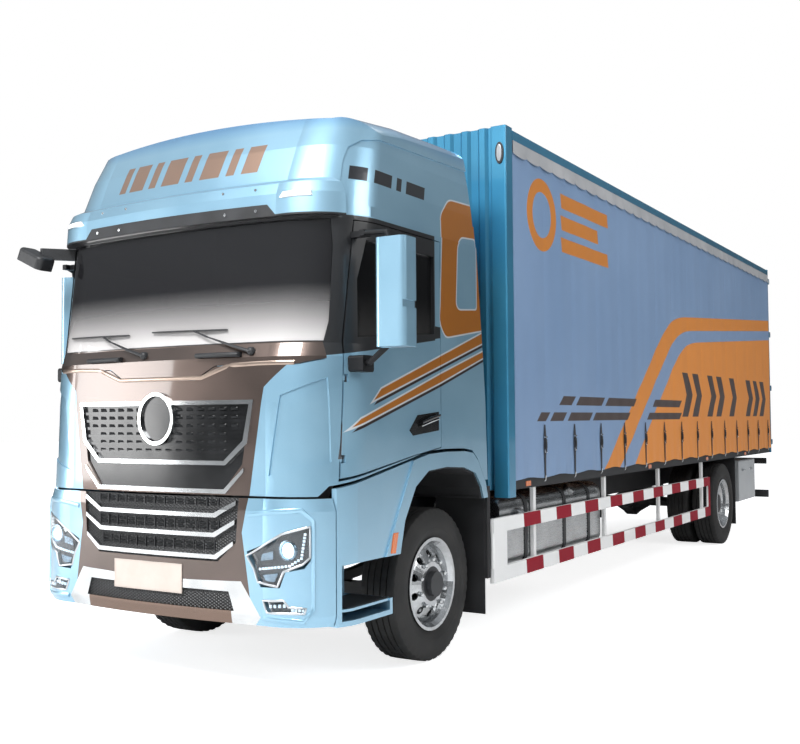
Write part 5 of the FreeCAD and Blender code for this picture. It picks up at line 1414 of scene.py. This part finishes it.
# %% Box handles and tank cap
HANDLE_HIGH, NECK_Y = 0.90, 0.32
CAP_LINE = [(-0.02, 0.001), (-0.02, 0.036), (0.018, 0.036), (0.020, 0.048), (0.036, 0.048), (0.041, 0.040),
            (0.041, 0.001)]
fittings = Build()
box_low, box_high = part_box("toolbox")
for share in (0.25, 0.75):
    y = box_low.y + (box_high.y - box_low.y) * share
    x = box_high.x
    tube(fittings, [(x - 0.004, y, HANDLE_HIGH), (x + 0.016, y, HANDLE_HIGH)], 0.016, 12)
    tube(fittings, [(x + 0.016, y - 0.045, HANDLE_HIGH), (x + 0.020, y, HANDLE_HIGH),
                    (x + 0.016, y + 0.045, HANDLE_HIGH)], 0.008, 8)
tank_low, tank_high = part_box("fuel_tank")
cap_way = Vector((0.5, 0, 0.866))
cap_start = Vector((tank_high.x + 0.2, tank_low.y + NECK_Y, tank_high.z + 0.05))
cap_place = surface_of("fuel_tank").ray_cast(cap_start, Vector((-0.7071, 0, -0.7071)))[0]
lathe(fittings, CAP_LINE, cap_place, 28, cap_way.normalized())
fittings.finish("tank_cap_and_box_handles", RIM_SILVER, "chassis", "chrome", smooth=40)

# %% [markdown]
# The seats are foam pads in cloth covers. Each pad starts as a rounded block that is slightly
# smaller than its place, is cut into even cells and is then blown up by a cloth
# simulation with gravity off, so that its sides crown and its corners pull in. The pads of
# both seats and the bunk go through it together.

# %% Pads before the swell
SEAT_X, BACK_LEAN = 0.64, math.radians(-10.8)
PAD_SHRINK, PAD_CELL = 0.012, 0.016


def seat_pads():
    # Centre, size, corner radius and lean of each pad.
    pads = []
    for side in SIDES:
        x = side * SEAT_X
        pads.append(((x, CAB_FACE + 1.23, 1.885), (0.40, 0.49, 0.135), 0.04, 0))
        pads.append(((x, CAB_FACE + 1.520, 2.260), (0.36, 0.105, 0.60), 0.04, BACK_LEAN))
        pads.append(((x, CAB_FACE + 1.595, 2.665), (0.22, 0.075, 0.17), 0.03, 0))
        for bolster in SIDES:
            pads.append(((x + bolster * 0.232, CAB_FACE + 1.23, 1.895), (0.062, 0.47, 0.145), 0.025, 0))
            pads.append(((x + bolster * 0.212, CAB_FACE + 1.505, 2.235), (0.062, 0.125, 0.55), 0.025,
                         BACK_LEAN))
    pads.append(((0, CAB_FACE + 1.81, 1.960), (2.32, 0.225, 0.115), 0.035, 0))
    return pads


def rounded_block(shape, centre, size, radius, lean):
    made = bmesh.ops.create_cube(shape, size=1.0)
    verts = made["verts"]
    bmesh.ops.scale(shape, vec=size, verts=verts)
    bmesh.ops.rotate(shape, cent=(0, 0, 0), matrix=Matrix.Rotation(lean, 3, "X"), verts=verts)
    bmesh.ops.translate(shape, vec=centre, verts=verts)
    edges = list({e for v in verts for e in v.link_edges})
    bmesh.ops.bevel(shape, geom=edges, offset=radius, segments=3, affect="EDGES")


def even_cells(mesh, name):
    holder = bpy.data.objects.new(name + "_even", mesh)
    bpy.context.scene.collection.objects.link(holder)
    remesh = holder.modifiers.new("even", "REMESH")
    remesh.mode = "VOXEL"
    remesh.voxel_size = PAD_CELL
    made = bpy.data.meshes.new_from_object(holder.evaluated_get(bpy.context.evaluated_depsgraph_get()))
    bpy.data.objects.remove(holder)
    return made


shape = bmesh.new()
for centre, size, radius, lean in seat_pads():
    rounded_block(shape, centre, tuple(s - PAD_SHRINK for s in size), radius, lean)
pads_mesh = bpy.data.meshes.new("seat_pads")
shape.to_mesh(pads_mesh)
shape.free()
even = even_cells(pads_mesh, "seat_pads")
print(len(seat_pads()), "pads of", len(even.polygons), "even cells")

# %% Seats and bunk
SWELL_STEPS, SWELL_PRESSURE, SWELL_CAP = 20, 4.0, 0.014


def blown_up(mesh, name, cap):
    # The cover swells by at most the cap, and what no simulation moved stays as it was.
    pad = bpy.data.objects.new(name + "_swell", mesh)
    bpy.context.scene.collection.objects.link(pad)
    cloth = pad.modifiers.new("swell", "CLOTH")
    cloth.settings.use_pressure = True
    cloth.settings.uniform_pressure_force = SWELL_PRESSURE
    cloth.settings.effector_weights.gravity = 0.0
    cloth.settings.quality = 4
    cloth.point_cache.frame_start = 1
    cloth.point_cache.frame_end = SWELL_STEPS
    scene = bpy.context.scene
    for step in range(1, SWELL_STEPS + 1):
        scene.frame_set(step)
    graph = bpy.context.evaluated_depsgraph_get()
    swollen = bpy.data.meshes.new_from_object(pad.evaluated_get(graph))
    scene.frame_set(1)
    for before, after in zip(mesh.vertices, swollen.vertices):
        shift = after.co - before.co
        if shift.length > cap:
            after.co = before.co + shift.normalized() * cap
    bpy.data.objects.remove(pad)
    return swollen


cover = blown_up(even, "seat_pads", SWELL_CAP)
seats = bpy.data.objects.new("seat_cushions", cover)
bpy.context.scene.collection.objects.link(seats)
cover.materials.clear()
cover.materials.append(SEAT_CLOTH)
for polygon in cover.polygons:
    polygon.use_smooth = True
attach(seats, "cab")
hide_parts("seats")
print("seat cushions", len(cover.polygons), "faces")

# %% [markdown]
# Under each cushion stands a sprung base in a rubber bellows, drawn as seven flat folds of
# which every other one is drawn in. A closed locker carries the bunk.

# %% Seat and bunk bases
FOLDS, FOLD_HIGH, FOLD_INSET = 7, 0.038, 0.012
bases = Build()
for side in SIDES:
    x = side * SEAT_X
    bases.box((x, CAB_FACE + 1.24, 1.800), (0.36, 0.40, 0.022))
    for level in range(FOLDS):
        inset = FOLD_INSET * (level % 2)
        bases.box((x, CAB_FACE + 1.24, 1.540 + level * FOLD_HIGH), (0.32 - inset, 0.34 - inset, FOLD_HIGH))
    bases.box((x, CAB_FACE + 1.590, 2.575), (0.012, 0.012, 0.10))
bases.box((0, CAB_FACE + 1.81, 1.710), (2.33, 0.230, 0.375))
bases.finish("seat_and_bunk_bases", GRAINED_PLASTIC, "cab", "seat_cloth", bevel=0.004, replaces=("seats",))

# %% [markdown]
# A studio is a pale floor, a pale surround and broad lamps. The floor shows white to the
# camera and still takes the truck's shadow. The strongest lamp stands ahead of the truck, so
# its face is bright and its side falls into a calm half-light.

# %% Floor
FLOOR_SIZE, FLOOR_GLOW = 120, 0.78
floor_mesh = bpy.data.meshes.new("floor")
half = FLOOR_SIZE / 2
floor_mesh.from_pydata([(-half, -half, 0), (half, -half, 0), (half, half, 0), (-half, half, 0)], [],
                       [(0, 1, 2, 3)])
floor = bpy.data.objects.new("floor", floor_mesh)
bpy.context.scene.collection.objects.link(floor)
floor_finish, floor_tree, floor_shader = material("pale_studio_floor", Roughness=0.9)
floor_shader.inputs["Base Color"].default_value = srgb("#EEEEEE")
seen = add(floor_tree, "LightPath").outputs["Is Camera Ray"]
glow_strength = add(floor_tree, "Math", (seen, FLOOR_GLOW), operation="MULTIPLY")
floor_glow = add(floor_tree, "Emission", {"Strength": glow_strength})
floor_sum = add(floor_tree, "AddShader", {0: floor_shader, 1: floor_glow})
plug(floor_tree.nodes["Material Output"].inputs["Surface"], floor_sum)
floor_mesh.materials.append(floor_finish)
print("floor", FLOOR_SIZE, "m wide")

# %% [markdown]
# Light from the surround is strong ahead, fair above and weak at the driver's side, as if a
# dark flag stood there. A dim band near the horizon gives bright parts an edge. The camera
# itself sees plain white.

# %% Surround
AHEAD_SHARE, ABOVE_SHARE, LEAST_SHARE = 0.62, 0.42, 0.13
DIM_FOOT, DIM_TOP, DIM_SHARE = 0.10, 0.34, 0.35
world = bpy.data.worlds.new("studio")
bpy.context.scene.world = world
world.use_nodes = True
sky = world.node_tree
for old in list(sky.nodes):
    sky.nodes.remove(old)
way = add(sky, "TexCoord").outputs["Generated"]


def facing(direction):
    made = add(sky, "VectorMath", {0: way, 1: direction}, operation="DOT_PRODUCT")
    return add(sky, "Math", (made.outputs["Value"], 0.0), operation="MAXIMUM")


ahead = add(sky, "Math", (facing((0, -1, 0)), AHEAD_SHARE), operation="MULTIPLY")
above = add(sky, "Math", (facing((0, 0, 1)), ABOVE_SHARE), operation="MULTIPLY")
strength = add(sky, "Math", (ahead, above), operation="ADD")
strength = add(sky, "Math", (strength, LEAST_SHARE), operation="ADD")
rising = add(sky, "MapRange", {"Value": facing((0, 0, 1)), 1: DIM_FOOT, 2: DIM_TOP, 3: DIM_SHARE, 4: 1.0})
strength = add(sky, "Math", (strength, rising), operation="MULTIPLY")
plain = add(sky, "Background", {"Strength": strength, "Color": srgb("#EEF3F8")})
white = add(sky, "Background", {"Color": (1, 1, 1, 1), "Strength": 1.0})
camera_ray = add(sky, "LightPath").outputs["Is Camera Ray"]
mixed = add(sky, "MixShader", {0: camera_ray, 1: plain, 2: white})
add(sky, "OutputWorld", {"Surface": mixed})
print("surround", world.name, "with", len(sky.nodes), "nodes")


# %% Lamps
def area_lamp(name, place, target, size, power):
    data = bpy.data.lights.new(name, "AREA")
    data.shape = "RECTANGLE"
    data.size, data.size_y = size
    data.energy = power
    lamp = bpy.data.objects.new(name, data)
    bpy.context.scene.collection.objects.link(lamp)
    lamp.location = place
    lamp.rotation_euler = (Vector(target) - Vector(place)).to_track_quat("-Z", "Y").to_euler()
    return lamp


area_lamp("key", (1.0, -15.5, 11.5), (0, -5, 1.5), (8, 4), 2900)
area_lamp("low_front", (-9.5, -13, 2.6), (-0.6, -5.8, 1.6), (5, 4), 520)
area_lamp("side_fill", (14, -1, 9), (1.2, 1, 2), (8, 5), 640)
area_lamp("top", (0, 0, 14), (0, 0, 0), (6, 16), 350)
bpy.context.scene.view_settings.view_transform = "Standard"
print("lamps", [lamp.name for lamp in bpy.data.lights])
